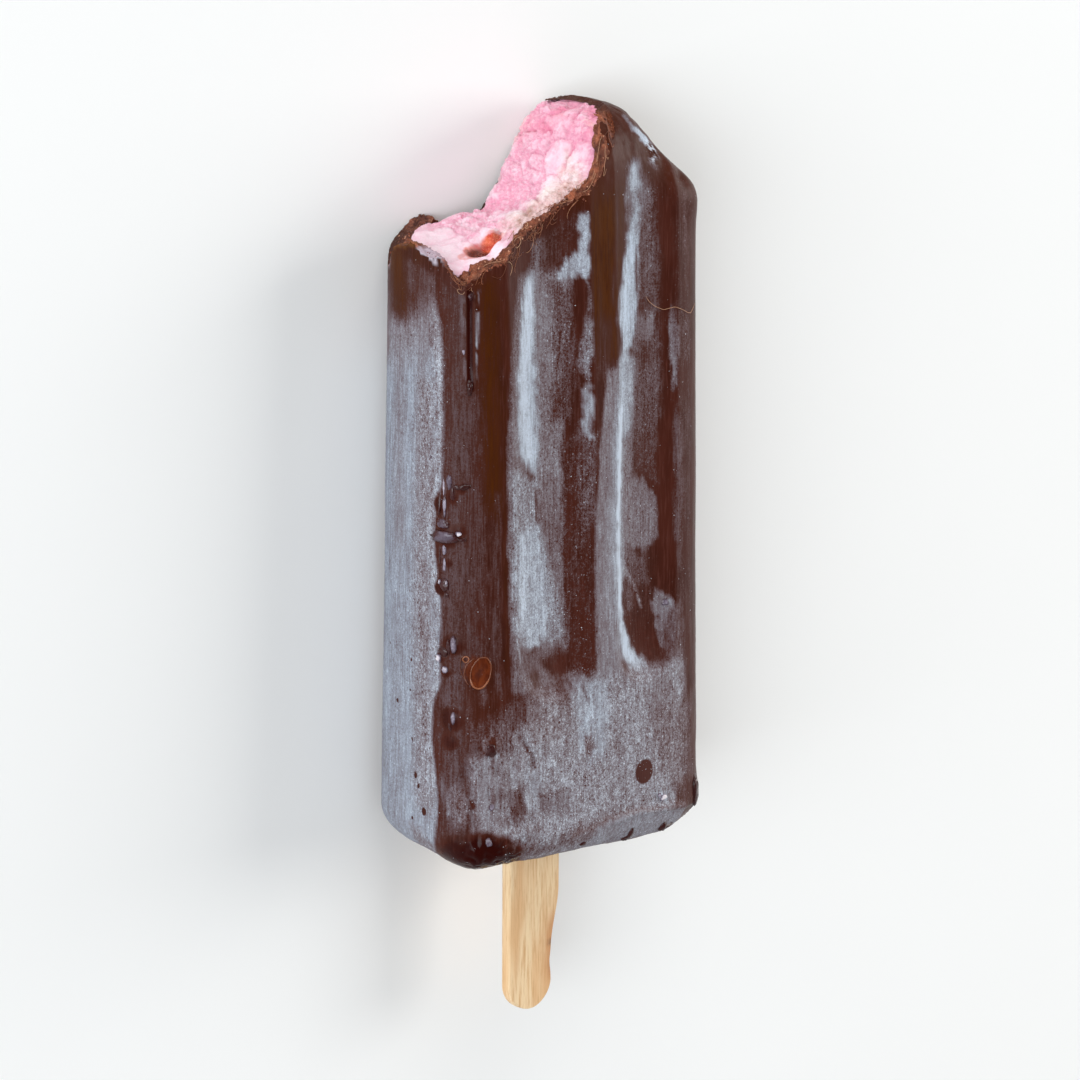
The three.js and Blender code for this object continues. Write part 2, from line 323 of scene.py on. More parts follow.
def closed_rings(name, rings, low_pole, high_pole, mats=(), index=0):
    nr, n = rings.shape[:2]
    verts = np.concatenate([rings.reshape(-1, 3), [low_pole, high_pole]])
    quads = ring_faces(nr, n)
    j = np.arange(n)
    k = (j + 1) % n
    a = nr * n
    tris = np.concatenate([np.stack([np.full(n, a), j, k], 1),
                           np.stack([np.full(n, a + 1), (nr - 1) * n + k, (nr - 1) * n + j], 1)])
    me = new_mesh(name, verts, quads, tris, mats)
    if index:
        me.polygons.foreach_set("material_index", np.full(len(me.polygons), index, np.int32))
    return new_object(name, me)


# ------------------------------------------------------------------ relief of the coating
def polyline_distance(p, pts):
    """Distance of points p (N, 3) to a polyline, and how far along it (0..1) the nearest place is."""
    pts = np.asarray(pts, float)
    if len(pts) == 1:
        return np.linalg.norm(p - pts[0], axis=1), np.zeros(len(p))
    seg = np.linalg.norm(np.diff(pts, axis=0), axis=1)
    at = np.concatenate([[0], np.cumsum(seg)]) / seg.sum()
    best = np.full(len(p), 1e9)
    along = np.zeros(len(p))
    for i in range(len(pts) - 1):
        v = pts[i + 1] - pts[i]
        t = np.clip(((p - pts[i]) @ v) / (v @ v), 0, 1)
        d = np.linalg.norm(p - (pts[i] + t[:, None] * v), axis=1)
        m = d < best
        best = np.where(m, d, best)
        along = np.where(m, at[i] + t * (at[i + 1] - at[i]), along)
    return best, along


def front_z(x, y):
    """Height of the front face, without its flutes, at a place on it."""
    a, b = section(np.asarray(y, float))
    r = np.clip(1 - (np.abs(np.asarray(x, float)) / np.maximum(a, 1e-6)) ** POWER, 0, 1)
    return b * r ** (1 / POWER)


def on_front(pts):
    pts = np.asarray(pts, float)
    z = front_z(pts[:, 0], pts[:, 1]) - flute_depth(pts[:, 0], pts[:, 1])
    return np.column_stack([pts, z])


DRIPS = ((-19.2, 2.6, 9.8, 7.4, 1.15), (22.0, 3.6, 6.8, 4.8, 1.15))
BUMPS = (  # blisters and drops of chocolate: x, y, z, radius, height
    (-22.2, 50.2, 7.1, 1.7, 0.42), (-21.0, 51.0, 8.5, 1.0, 0.34), (-22.5, 54.6, 6.3, 1.2, 0.3),
    (-20.9, 57.2, 8.8, 0.8, 0.3), (-21.7, 55.9, 7.8, 0.9, 0.22), (-22.6, 42.7, 6.4, 1.1, 0.3),
    (-22.7, 32.7, 6.6, 0.75, 0.42), (-22.4, 30.7, 7.3, 0.8, 0.36), (-21.8, 34.8, 8.2, 1.5, 0.4),
    (-22.1, 23.9, 8.2, 1.8, 0.28), (-22.3, 20.6, 8.0, 1.3, 0.22), (-22.0, 46.4, 7.4, 0.7, 0.2),
    (13.5, 34.3, 11.9, 0.75, 0.35), (12.4, 6.3, 12.9, 1.1, 0.3), (15.6, 6.6, 12.5, 1.4, 0.22), (-14.2, 6.2, 12.8, 1.2, 0.2),
    (-19.4, 83.6, 9.3, 0.9, 0.2), (-18.7, 82.2, 9.6, 0.5, 0.2),
)
PITS = (  # small popped bubbles: x, y, z, radius, depth
    (-23.3, 30.8, 0.3, 0.35, 0.2), (-23.4, 26.3, 0.1, 0.3, 0.15), (-23.4, 19.0, 0.6, 0.28, 0.15),
    (-23.5, 14.0, 1.4, 0.42, 0.3), (-23.5, 12.9, 2.1, 0.3, 0.2), (-23.4, 9.1, 3.5, 0.5, 0.34),
    (-23.4, 23.9, -3.0, 0.3, 0.15), (-23.1, 31.9, -5.3, 0.25, 0.15), (-23.5, 17.4, 0.4, 0.2, 0.1),
    (-20.3, 44.2, 9.5, 0.3, 0.15), (-19.2, 64.5, 9.7, 0.28, 0.12), (-19.9, 62.5, 9.3, 0.22, 0.1),
    (-20.1, 42.3, 9.7, 0.22, 0.1), (-19.6, 46.7, 9.9, 0.25, 0.1), (-19.6, 59.0, 9.6, 0.2, 0.1),
)
RING = (-19.1, 30.8, 10.5, 1.95)
RING_TAIL = (-20.8, 32.2, 9.5, 0.8)
STREAK = ((-19.55, 84.6, 8.9), (-19.65, 79.0, 9.0), (-19.75, 71.2, 9.15))
FOOT_LINE = ((-4.3, 2.9, 12.7), (0.0, 3.8, 13.0), (3.0, 4.5, 13.2), (6.6, 4.9, 13.2), (9.8, 4.7, 13.1), (12.8, 4.3, 12.9), (15.6, 3.9, 12.3),
             (17.8, 3.3, 11.7))


def relief(p, y):
    """How far the coating stands out of the mould's shape at points p of heights y."""
    h = 0.16 * fbm(p / np.array([17, 26, 17]), 2, 5)
    h += 0.07 * fbm(p / np.array([3.2, 11, 3.2]), 3, 6)
    h += 0.018 * noise(p / np.array([0.75, 9, 0.75]), 7)
    h += 0.014 * noise(p / 0.8, 8)
    ragged = 1 + 0.3 * noise(p / 0.8, 21)
    for x, yy, z, r, hi in BUMPS:
        d = np.linalg.norm(p - (x, yy, z), axis=1) / r * ragged
        h += 0.8 * hi * np.clip(1 - d ** 2, 0, 1) ** 1.5
    for x, yy, z, r, deep in PITS:
        d = np.linalg.norm(p - (x, yy, z), axis=1) / r
        h -= deep * gauss(d)
    # the hollow of the burst bubble and its small tail
    for x, yy, z, r in (RING, RING_TAIL):
        d = np.linalg.norm(p - (x, yy, z), axis=1)
        h += 0.1 * gauss((d - r) / 0.35) - 0.06 * smooth(r, r - 0.4, d)
    # a run of melted chocolate below the bite: a shallow channel between two raised lips
    d, along = polyline_distance(p, STREAK)
    h -= 0.12 * np.clip(1 - (d / 0.6) ** 2, 0, 1)
    h += 0.22 * gauss((d - 0.62) / 0.16) * smooth(1.04, 0.93, along)
    h += 0.24 * gauss(np.linalg.norm((p - (STREAK[-1][0], STREAK[-1][1] + 0.5, STREAK[-1][2])) / (0.7, 1.3, 0.9), axis=1))
    # raised line along the front foot edge, with the recess under it
    d, _ = polyline_distance(p, FOOT_LINE)
    d = d * (1 + 0.35 * noise(p / 2.2, 22))
    foot = smooth(0.0, 5.0, p[:, 0]) * (p[:, 2] > 8)
    line_y = np.interp(p[:, 0], [q[0] for q in FOOT_LINE], [q[1] for q in FOOT_LINE])
    h += 0.3 * gauss(d / 0.5) * foot - 0.34 * foot * smooth(0.3, 1.1, line_y - p[:, 1]) * smooth(4.6, 3.0, line_y - p[:, 1])
    # rib end at the right shoulder, and the crinkle on the tip's slope
    h += 0.8 * gauss(np.linalg.norm((p - (19.4, 93.2, 6.5)) / (3.0, 3.2, 5.5), axis=1))
    h -= 0.4 * gauss(np.linalg.norm((p - (15.0, 99.6, 6.0)) / (2.6, 2.2, 5.0), axis=1))
    h += 0.2 * gauss(np.linalg.norm((p - (9.5, 103.0, 8.4)) / (1.1, 2.4, 2.2), axis=1))
    h -= 0.55 * gauss(np.linalg.norm((p - (17.6, 95.6, 8.3)) / (0.8, 0.9, 1.4), axis=1))
    crinkle = gauss(np.linalg.norm((p - (12.8, 99.8, 8.6)) / (1.1, 1.5, 2.0), axis=1))
    h += crinkle * (0.34 * noise(p / np.array([0.36, 0.75, 0.36]), 31) + 0.16)
    # lumps and wrinkles low on the left of the face, and weaker ones over all its foot
    low = smooth(8.0, 10.0, p[:, 2]) * smooth(-1.0, 2.0, y)
    rough = low * smooth(22.0, 17.0, y) * smooth(-8.0, -12.0, p[:, 0])
    h += rough * (0.2 * fbm(p / np.array([1.0, 1.6, 1.0]), 2, 161) - 0.14 * gauss(fbm(p / np.array([1.6, 3.6, 1.6]), 2, 162) / 0.1))
    h += rough * 0.12 * noise(p / np.array([0.5, 5.0, 0.5]), 164)
    d, _ = polyline_distance(p, ((-13.6, 20.6, 12.5), (-12.8, 19.8, 12.7), (-11.6, 17.8, 12.9), (-11.1, 15.9, 12.9)))
    h -= 0.24 * gauss(d / 0.3)
    h += 0.5 * gauss(np.linalg.norm((p - (-17.6, 19.9, 11.8)) / (1.2, 1.3, 1.4), axis=1) ** 2)
    h += 0.26 * gauss(np.linalg.norm((p - (-20.9, 11.4, 10.0)) / (1.5, 2.6, 1.8), axis=1) ** 2) * (1 + 0.7 * noise(p / 0.6, 165))
    h += low * smooth(27.0, 22.0, y) * 0.07 * fbm(p / np.array([1.3, 2.2, 1.3]), 3, 163)
    h += 0.22 * smooth(104.5, 106.5, y)
    # shallow creases around the crown of the shell
    tip = smooth(97, 101, y)
    h += tip * (0.07 * fbm(p / 0.9, 2, 33) - 0.06 * gauss(fbm(p / 2.2, 2, 34) / 0.08))
    return h


def outer_bar(name, nt, nr, mats):
    ang = even_angles(nt, 1.9)
    low, high = 0.0, BAR_LENGTH
    ys = ring_heights(low, high, nr)
    caps = [(low, s) for s in (0.12, 0.28, 0.45, 0.6, 0.73, 0.84, 0.93)]
    rows = [skin(np.full(nt, y), ang, 0, s) for y, s in caps]
    rows += [skin(np.full(nt, y), ang) for y in ys]
    rows += [skin(np.full(nt, high - 0.12), ang)]
    rings = np.array(rows)
    heights = np.concatenate([[y for y, _ in caps], ys, [high - 0.12]])
    o = closed_rings(name, rings, (0, low, 0), (0, high, 0), mats)
    co = coords(o.data)
    n = normals(o.data)
    y = np.concatenate([np.repeat(heights, nt), [low, high]])
    h = relief(co, y)
    foot = smooth(1.2, 0.0, y)
    out = co + n * h[:, None]
    for x, yy, z, reach, swell in DRIPS:
        d = np.linalg.norm(co - (x, yy, z), axis=1)
        away = np.stack([co[:, 0] * 0.4, np.full(len(co), -9.0), co[:, 2] * 0.8], 1)
        away /= np.linalg.norm(away, axis=1)[:, None]
        out += away * (swell * gauss(d / (reach * 0.6)))[:, None]
    out[:, 1] -= foot * (0.35 * fbm(co / 5.0, 3, 12) + 0.1 * fbm(co / 1.6, 2, 13))
    # rest flat: nothing reaches below the table
    row = to_row(out) * 1000
    sink = np.clip(0.02 - row[:, 2], 0, None)
    row[:, 2] += sink
    out = to_mould(row * 0.001)
    set_coords(o.data, out)
    return o


def inner_bar(name, inset, nt, nr, mats=(), index=0):
    """The skin's shape set in by the coating's thickness, which is less over the bitten tip."""
    ang = even_angles(nt)
    low, high = inset, BAR_LENGTH - inset
    ys = ring_heights(low, high, nr)
    rows = [skin(np.full(nt, low), ang, inset, s) for s in (0.35, 0.7)]
    rows += [skin(np.full(nt, y), ang, inset) for y in ys]
    rows += [skin(np.full(nt, high - 0.12), ang, inset, s) for s in (1.0, 0.75, 0.5, 0.25)]
    o = closed_rings(name, np.array(rows), (0, low, 0), (0, high, 0), mats, index)
    co = coords(o.data)
    x, y, z = co.T
    grow = (0.4 * smooth(97, 100, y) + 0.85 * smooth(102.4, 104.2, y)) * smooth(14.5, 11.0, x)
    grow += 0.7 * smooth(4.5, 7.5, z) * smooth(-15.5, -12.5, x) * smooth(0.6, -2.4, x) * smooth(86.5, 90.0, y)
    grow -= 1.9 * gauss(np.linalg.norm((co - (-20.6, 90.0, -7.8)) / (2.8, 4.6, 3.2), axis=1))
    grow -= 1.1 * gauss(np.linalg.norm((co - (-14.8, 91.0, -9.0)) / (2.6, 3.4, 2.6), axis=1))
    set_coords(o.data, co + normals(o.data) * grow[:, None])
    return o


# ------------------------------------------------------------------ the bite
# heights of the bitten face over the width x, at the skins, the coating's inner walls and between
RIM_BACK_OUT = ((-26, 83.0), (-22.5, 83.8), (-21, 85.2), (-20.0, 86.6), (-19.2, 87.7), (-18.4, 88.7), (-17.3, 89.7), (-16.2, 90.5),
                (-15.3, 91.2), (-14.3, 91.8), (-13.3, 91.6), (-12.3, 90.5), (-11.4, 89.4), (-10.5, 88.9), (-8.9, 89.2),
                (-7.1, 89.8), (-5.8, 90.4), (-4.8, 91.15), (-2.8, 93.0), (-0.25, 94.95), (1.1, 96.95), (2.35, 98.6), (3.1, 99.9),
                (3.9, 100.9), (4.8, 101.3), (5.9, 102.2), (7.2, 103.1), (8.6, 103.9), (10.0, 104.6), (11.0, 105.8), (12.5, 111), (26, 150))
RIM_BACK_IN = ((-26, 84.0), (-21.5, 85.4), (-20.2, 87.6), (-19.3, 88.7), (-18.0, 89.3), (-16.5, 90.2), (-15.0, 90.9), (-13.8, 90.8), (-12.5, 90.3),
               (-11, 90.4), (-9, 90.6), (-7, 90.5), (-5.2, 90.6), (-3.6, 91.9), (-1.9, 94.1), (-0.2, 96.5), (1.2, 98.5), (2.3, 99.8),
               (3.3, 101.2), (4.4, 102.5), (5.8, 103.5), (7.2, 104.1), (8.8, 104.7), (9.9, 105.8), (11.2, 110), (26, 150))
RIM_MOUND = ((-26, 87.6), (-21.8, 88.2), (-20.4, 89.5), (-19.3, 89.8), (-17.5, 90.0), (-16.2, 90.2), (-15.2, 90.5), (-14.2, 91.1), (-12.8, 91.9),
             (-11.6, 92.3), (-9.0, 92.35), (-7.4, 92.2), (-5.6, 93.9), (-4.0, 96.3), (-2.9, 98.3), (-1.9, 100.2), (-1.2, 101.6),
             (-0.7, 103.0), (0.4, 104.4), (1.8, 105.5), (3.4, 106.1), (4.9, 106.4), (6.7, 106.6), (7.9, 106.9), (8.7, 107.6), (10.4, 113),
             (26, 150))
RIM_MIDDLE = ((-26, 90.3), (-22.7, 89.9), (-21, 89.4), (-19, 89.1), (-17, 89.5), (-15, 90.3), (-13, 91.0), (-11, 91.4), (-9, 91.7),
              (-7, 92.2), (-5, 93.3), (-3.6, 94.9), (-2.8, 96.9), (-2.1, 98.6), (-1.6, 100.2), (-1.2, 101.7), (-0.6, 103.1), (0.5, 104.4),
              (1.8, 105.5), (3.5, 106.2), (5.4, 106.1), (7.0, 106.5), (7.6, 107.4), (9.2, 112), (26, 150))
RIM_FRONT_MID = ((-26, 89.5), (-21, 89.0), (-19, 88.0), (-17, 88.8), (-15, 89.5), (-13, 90.7), (-11, 91.9), (-9, 92.8), (-7, 93.4),
                 (-5, 94.3), (-3.4, 95.5), (-2.1, 96.9), (-1.2, 98.3), (-0.6, 99.8), (-0.1, 101.4), (0.6, 102.9), (1.7, 104.2),
                 (3.2, 105.4), (5.2, 106.2), (6.6, 106.7), (7.2, 107.4), (8.8, 112), (26, 150))
RIM_FRONT_IN = ((-26, 89.4), (-21.3, 89.2), (-21.0, 87.9), (-20.6, 86.7), (-19.9, 85.9), (-19.0, 86.4), (-17.7, 87.6), (-16.4, 88.3),
                (-14.8, 88.4), (-13.8, 89.8), (-12.4, 91.1), (-10.9, 92.4), (-9.3, 93.3), (-7.8, 93.5), (-6.7, 93.9), (-5.3, 94.6),
                (-3.8, 95.5), (-2.4, 96.3), (-0.7, 97.2), (0.5, 98.2), (1.0, 99.3), (1.4, 100.9), (2.2, 102.6), (3.5, 104.2),
                (6.0, 105.8), (6.7, 106.3), (7.3, 107.4), (8.8, 112), (26, 150))
RIM_FRONT_OUT = ((-26, 89.4), (-22.1, 89.2), (-22.0, 88.4), (-21.6, 87.1), (-21.0, 86.1), (-20.1, 85.8), (-18.8, 86.4), (-17.2, 87.5),
                 (-15.1, 87.8), (-13.5, 89.1), (-11.9, 90.3), (-10.4, 91.2), (-8.9, 92.0), (-7.2, 92.7), (-5.2, 93.9),
                 (-3.1, 94.7), (-0.8, 95.5), (0.7, 97.0), (1.9, 98.6), (2.8, 100.4), (3.7, 101.8), (4.6, 102.6), (5.7, 104.7),
                 (6.7, 106.2), (7.6, 108), (9.2, 113), (26, 150))
RIM_SIDE = ((-11, 82.6), (-9, 83.2), (-7.4, 84.4), (-6.0, 86.0), (-5.0, 87.6), (-4.0, 88.7), (-2.8, 89.3), (0, 89.9), (2.2, 89.2), (4.4, 88.7), (5.9, 88.9),
            (6.6, 87.8), (7.4, 86.6), (8.3, 85.6), (11, 85.4))


def eased(points, x, width=0.3):
    """A polyline read with its corners rounded."""
    px, py = np.array(points, float).T
    total = 0
    for k, w in ((-1, 0.12), (-0.5, 0.22), (0, 0.32), (0.5, 0.22), (1, 0.12)):
        total = total + w * np.interp(x + k * width, px, py)
    return total


def bite_stations(x):
    """Depths z at which the face's height is known, from the back skin to the front skin."""
    y_front = eased(RIM_FRONT_OUT, x)
    yc = np.clip(y_front, 80, 106.2)
    front = np.clip(front_z(x, yc) - flute_depth(x, yc), 6.0, None)
    yb = np.clip(eased(RIM_BACK_OUT, x), 80, 104.5)
    _, b = section(yb)
    back = -np.clip(np.minimum(b, FOOT_B + (TIP_B - FOOT_B) * yb / BAR_LENGTH - BACK_FLAT) - flute_depth(x, yb), 7.4, None)
    return (back, back + 1.7, np.full_like(x, -4.8), np.zeros_like(x), np.full_like(x, 3.2), front - 1.7, front)


def bite_height(x, z, coating=True):
    """Height of the bitten face over the width x and the depth z, before its roughness."""
    x = np.asarray(x, float)
    z = np.asarray(z, float)
    curves = [eased(c, x) for c in (RIM_BACK_OUT, RIM_BACK_IN, RIM_MOUND, RIM_MIDDLE, RIM_FRONT_MID, RIM_FRONT_IN, RIM_FRONT_OUT)]
    at = bite_stations(x)
    total = 0
    for shift, w in ((-0.7, 0.15), (-0.35, 0.22), (0, 0.26), (0.35, 0.22), (0.7, 0.15)):
        y = curves[0]
        for k in range(len(at) - 1):
            f = np.clip((z + shift - at[k]) / (at[k + 1] - at[k]), 0, 1)
            y = y + (curves[k + 1] - curves[k]) * f
        total = total + w * y
    if coating:
        side = smooth(-20.9, -21.8, x)
        total = total * (1 - side) + eased(RIM_SIDE, z) * side
        # the ice cream hangs on where the coating fell away at the lowest point
        total = total - 0.4 * gauss((x + 20.0) / 1.0) * smooth(5.0, 7.5, z)
    return total


def bite_sheet(nx, nz, roughness, coating=True, x0=-26.0, x1=12.6, z0=-15.0, z1=15.0):
    """Grid of points on the bitten face, evenly spaced along it, moved along its normal."""
    fine = np.linspace(x0, x1, 3000)
    prof = np.minimum(bite_height(fine, np.zeros_like(fine)), 108.5)
    s = np.concatenate([[0], np.cumsum(np.hypot(np.diff(fine), np.diff(prof)))])
    xs = np.interp(np.linspace(0, s[-1], nx), s, fine)
    zs = np.linspace(z0, z1, nz)
    X, Z = np.meshgrid(xs, zs, indexing="ij")
    Y = np.minimum(bite_height(X, Z, coating), 116.0)
    P = np.stack([X, Y, Z], -1)
    du = np.gradient(P, axis=0)
    dv = np.gradient(P, axis=1)
    n = np.cross(dv, du)
    n /= np.linalg.norm(n, axis=-1, keepdims=True) + 1e-12
    n = np.where(n[..., 1:2] < 0, -n, n)
    flat = P.reshape(-1, 3)
    h = roughness(flat).reshape(nx, nz, 1)
    return P + n * h


def bite_solid(name, sheet, mats, index=1):
    """The space above the bitten face, closed with a lid."""
    nx, nz = sheet.shape[:2]
    grid = sheet.reshape(-1, 3)
    idx = np.arange(nx * nz).reshape(nx, nz)
    quads = np.stack([idx[:-1, :-1], idx[1:, :-1], idx[1:, 1:], idx[:-1, 1:]], -1).reshape(-1, 4)
    border = np.concatenate([idx[:-1, 0], idx[-1, :-1], idx[1:, -1][::-1], idx[0, 1:][::-1]])
    top = grid[border].copy()
    top[:, 1] = 150.0
    nb = len(border)
    base = len(grid)
    k = np.arange(nb)
    kn = (k + 1) % nb
    walls = np.stack([border[kn], border[k], base + k, base + kn], -1)
    lid = len(grid) + nb
    verts = np.concatenate([grid, top, [[(grid[:, 0].min() + grid[:, 0].max()) / 2, 150.0, 0]]])
    lids = np.stack([base + k, np.full(nb, lid), base + kn], -1)
    me = new_mesh(name, verts, np.concatenate([quads, walls]), lids, mats)
    # facing: make the volume positive
    co = coords(me)
    me.calc_loop_triangles()
    t = np.empty(len(me.loop_triangles) * 3, np.int32)
    me.loop_triangles.foreach_get("vertices", t)
    t = t.reshape(-1, 3)
    vol = np.einsum("ij,ij->i", co[t[:, 0]], np.cross(co[t[:, 1]], co[t[:, 2]])).sum() / 6
    if vol < 0:
        me.flip_normals()
    me.polygons.foreach_set("material_index", np.full(len(me.polygons), index, np.int32))
    return new_object(name, me)


CRACK = ((6.2, 105.6, 6.2), (5.7, 104.8, 7.4), (5.1, 103.7, 8.6), (4.6, 102.4, 9.5), (4.3, 101.4, 9.9))


def coat_roughness(p):
    """Flaky, crumbling break of the coating."""
    q = p + 0.5 * np.stack([noise(p / 1.1, 37), noise(p / 1.1, 38), noise(p / 1.1, 39)], 1)
    h = 0.34 * fbm(p / 2.6, 2, 41) + 0.34 * fbm(q / 1.2, 2, 42)
    f1, f2 = cells(q / 0.7, 43)
    h += 0.24 * (0.45 - f1)
    h += 0.16 * noise(p / 0.3, 45) + 0.12 * noise(p / np.array([0.25, 1.6, 0.25]), 46)
    top = smooth(96, 100, p[:, 1]) * smooth(3.0, 6.0, p[:, 2])
    h = h * (1 - 0.45 * top) + top * 0.2 * noise(p / np.array([0.4, 2.6, 0.4]), 49)
    d, _ = polyline_distance(p, CRACK)
    h -= 0.75 * gauss(d / 0.3)
    return h


JAM = (-12.9, 4.5)       # where the fruit shows in the bitten face: x, z
JAM_HOLE = (-14.7, 4.7)


def cream_parts(p):
    """Relief of the ice cream, its creases, and how crumbly it is at each place."""
    x, y, z = p.T
    crumbly = np.clip(0.3 + 0.7 * smooth(-16.5, -11.0, x) * (1 - 0.75 * gauss(np.hypot((x + 1.4) / 2.2, (z - 3.8) / 2.4)))
                      - 0.5 * gauss(np.hypot((x + 19.5) / 4.0, (z - 2) / 8.0)), 0.1, 1)
    warp = lambda a, r, k: p + a * np.stack([fbm(p / r, 2, k), fbm(p / r, 2, k + 1), fbm(p / r, 2, k + 2)], 1)
    f1, f2 = cells(warp(1.6, 2.2, 51) / 4.2, 54)
    lumps = 1 - np.exp(-5.0 * (f2 - f1))
    g1, g2 = cells(warp(0.9, 0.9, 61) / 1.35, 64)
    crumbs = 1 - np.exp(-4.5 * (g2 - g1))
    k1, k2 = cells(warp(0.3, 0.4, 71) / 0.55, 74)
    grains = 1 - np.exp(-4.0 * (k2 - k1))
    near = np.exp(-2.2 * (f2 - f1))
    patchy = smooth(-0.15, 0.35, fbm(p / 2.6, 2, 77))
    h = 0.5 * fbm(p / 6.0, 2, 59) + 0.68 * (lumps - 0.7) * (0.35 + 0.65 * crumbly)
    h += 0.34 * (crumbs - 0.6) * crumbly * (0.3 + 0.7 * np.maximum(near, patchy))
    h += 0.14 * (grains - 0.6) * (0.35 + crumbly) + 0.05 * fbm(p / 0.4, 2, 60)
    crease = np.clip((1 - lumps) * (0.25 + 0.75 * crumbly) + 0.9 * (1 - crumbs) * crumbly * (0.1 + 0.9 * np.maximum(near, patchy))
                     + 0.35 * (1 - grains) * crumbly * np.maximum(near, patchy), 0, 1)
    return h, crease, crumbly


def pit_depth(x, z):
    wide = gauss(np.hypot((x - JAM[0]) / 2.2, (z - JAM[1]) / 1.9) ** 2)
    deep = gauss(np.hypot((x - JAM_HOLE[0]) / 1.9, (z - JAM_HOLE[1]) / 1.5) ** 2)
    return 0.9 * wide + 1.2 * deep


def cream_roughness(p):
    h, _, _ = cream_parts(p)
    x, y, z = p.T
    h = h * smooth(10.4, 8.6, np.abs(z)) * smooth(6.6, 5.4, x)
    return h - pit_depth(x, z)


# ------------------------------------------------------------------ materials
def new_material(name):
    m = bpy.data.materials.new(name)
    m.use_nodes = True
    nt = m.node_tree
    nt.nodes.clear()
    out = nt.nodes.new("ShaderNodeOutputMaterial")
    bsdf = nt.nodes.new("ShaderNodeBsdfPrincipled")
    nt.links.new(bsdf.outputs["BSDF"], out.inputs["Surface"])
    return m, nt, bsdf


class Graph:
    """Short names for the nodes a material is built of."""

    def __init__(self, nt):
        self.nt = nt

    def put(self, socket, value):
        if isinstance(value, bpy.types.NodeSocket):
            self.nt.links.new(value, socket)
        elif isinstance(value, (tuple, list)):
            v = list(value)
            if len(v) == 3 and len(socket.default_value) == 4:
                v.append(1.0)
            socket.default_value = v
        else:
            socket.default_value = value

    def attr(self, name):
        n = self.nt.nodes.new("ShaderNodeAttribute")
        n.attribute_name = name
        return n.outputs["Fac"]

    def place(self, scale=(1, 1, 1), shift=(0, 0, 0), turn=(0, 0, 0)):
        """Object coordinates in millimetres, stretched by scale."""
        c = self.nt.nodes.new("ShaderNodeTexCoord")
        m = self.nt.nodes.new("ShaderNodeMapping")
        m.vector_type = "POINT"
        m.inputs["Scale"].default_value = [1000.0 * s for s in scale]
        m.inputs["Location"].default_value = shift
        m.inputs["Rotation"].default_value = turn
        self.nt.links.new(c.outputs["Object"], m.inputs["Vector"])
        return m.outputs["Vector"]

    def away(self, at, radii):
        """Distance from a place in the bar's frame, in radii."""
        c = self.nt.nodes.new("ShaderNodeTexCoord")
        take = self.nt.nodes.new("ShaderNodeVectorMath")
        take.operation = "SUBTRACT"
        self.nt.links.new(c.outputs["Object"], take.inputs[0])
        take.inputs[1].default_value = [float(v) for v in to_row(at)]
        scale = self.nt.nodes.new("ShaderNodeVectorMath")
        scale.operation = "MULTIPLY"
        self.nt.links.new(take.outputs[0], scale.inputs[0])
        scale.inputs[1].default_value = [1000.0 / v for v in radii]
        far = self.nt.nodes.new("ShaderNodeVectorMath")
        far.operation = "LENGTH"
        self.nt.links.new(scale.outputs[0], far.inputs[0])
        return far.outputs["Value"]

    def noise(self, vector, scale=1.0, detail=3.0, rough=0.55, distortion=0.0, kind="Fac"):
        n = self.nt.nodes.new("ShaderNodeTexNoise")
        self.put(n.inputs["Vector"], vector)
        n.inputs["Scale"].default_value = scale
        n.inputs["Detail"].default_value = detail
        n.inputs["Roughness"].default_value = rough
        n.inputs["Distortion"].default_value = distortion
        return n.outputs[kind]

    def voronoi(self, vector, scale=1.0, feature="F1", output="Distance", randomness=1.0):
        n = self.nt.nodes.new("ShaderNodeTexVoronoi")
        n.feature = feature
        self.put(n.inputs["Vector"], vector)
        n.inputs["Scale"].default_value = scale
        n.inputs["Randomness"].default_value = randomness
        return n.outputs[output]

    def math(self, op, a, b=0.0, c=0.0, clamp=False):
        n = self.nt.nodes.new("ShaderNodeMath")
        n.operation = op
        n.use_clamp = clamp
        self.put(n.inputs[0], a)
        self.put(n.inputs[1], b)
        self.put(n.inputs[2], c)
        return n.outputs[0]

    def ramp(self, value, a, b, lo=0.0, hi=1.0, kind="SMOOTHSTEP"):
        n = self.nt.nodes.new("ShaderNodeMapRange")
        n.interpolation_type = kind
        self.put(n.inputs["Value"], value)
        n.inputs["From Min"].default_value = a
        n.inputs["From Max"].default_value = b
        n.inputs["To Min"].default_value = lo
        n.inputs["To Max"].default_value = hi
        return n.outputs["Result"]

    def mix(self, t, a, b, mode="MIX"):
        n = self.nt.nodes.new("ShaderNodeMix")
        n.data_type = "RGBA"
        n.blend_type = mode
        self.put(n.inputs["Factor"], t)
        self.put([s for s in n.inputs if s.name == "A" and s.type == "RGBA"][0], a)
        self.put([s for s in n.inputs if s.name == "B" and s.type == "RGBA"][0], b)
        return [s for s in n.outputs if s.type == "RGBA"][0]

    def bump(self, height, strength, distance, normal=None):
        n = self.nt.nodes.new("ShaderNodeBump")
        n.inputs["Strength"].default_value = strength
        n.inputs["Distance"].default_value = distance
        self.put(n.inputs["Height"], height)
        if normal is not None:
            self.nt.links.new(normal, n.inputs["Normal"])
        return n.outputs["Normal"]


def srgb(r, g, b):
    def f(v):
        v /= 255.0
        return v / 12.92 if v <= 0.04045 else ((v + 0.055) / 1.055) ** 2.4
    return (f(r), f(g), f(b))


FROST_STOPS = (  # look of the coating as frost thickens over it
    (0.0, (62, 27, 17)), (0.12, (76, 44, 38)), (0.28, (96, 75, 76)), (0.45, (117, 104, 108)),
    (0.62, (138, 134, 140)), (0.8, (166, 168, 176)), (1.0, (202, 208, 218)))


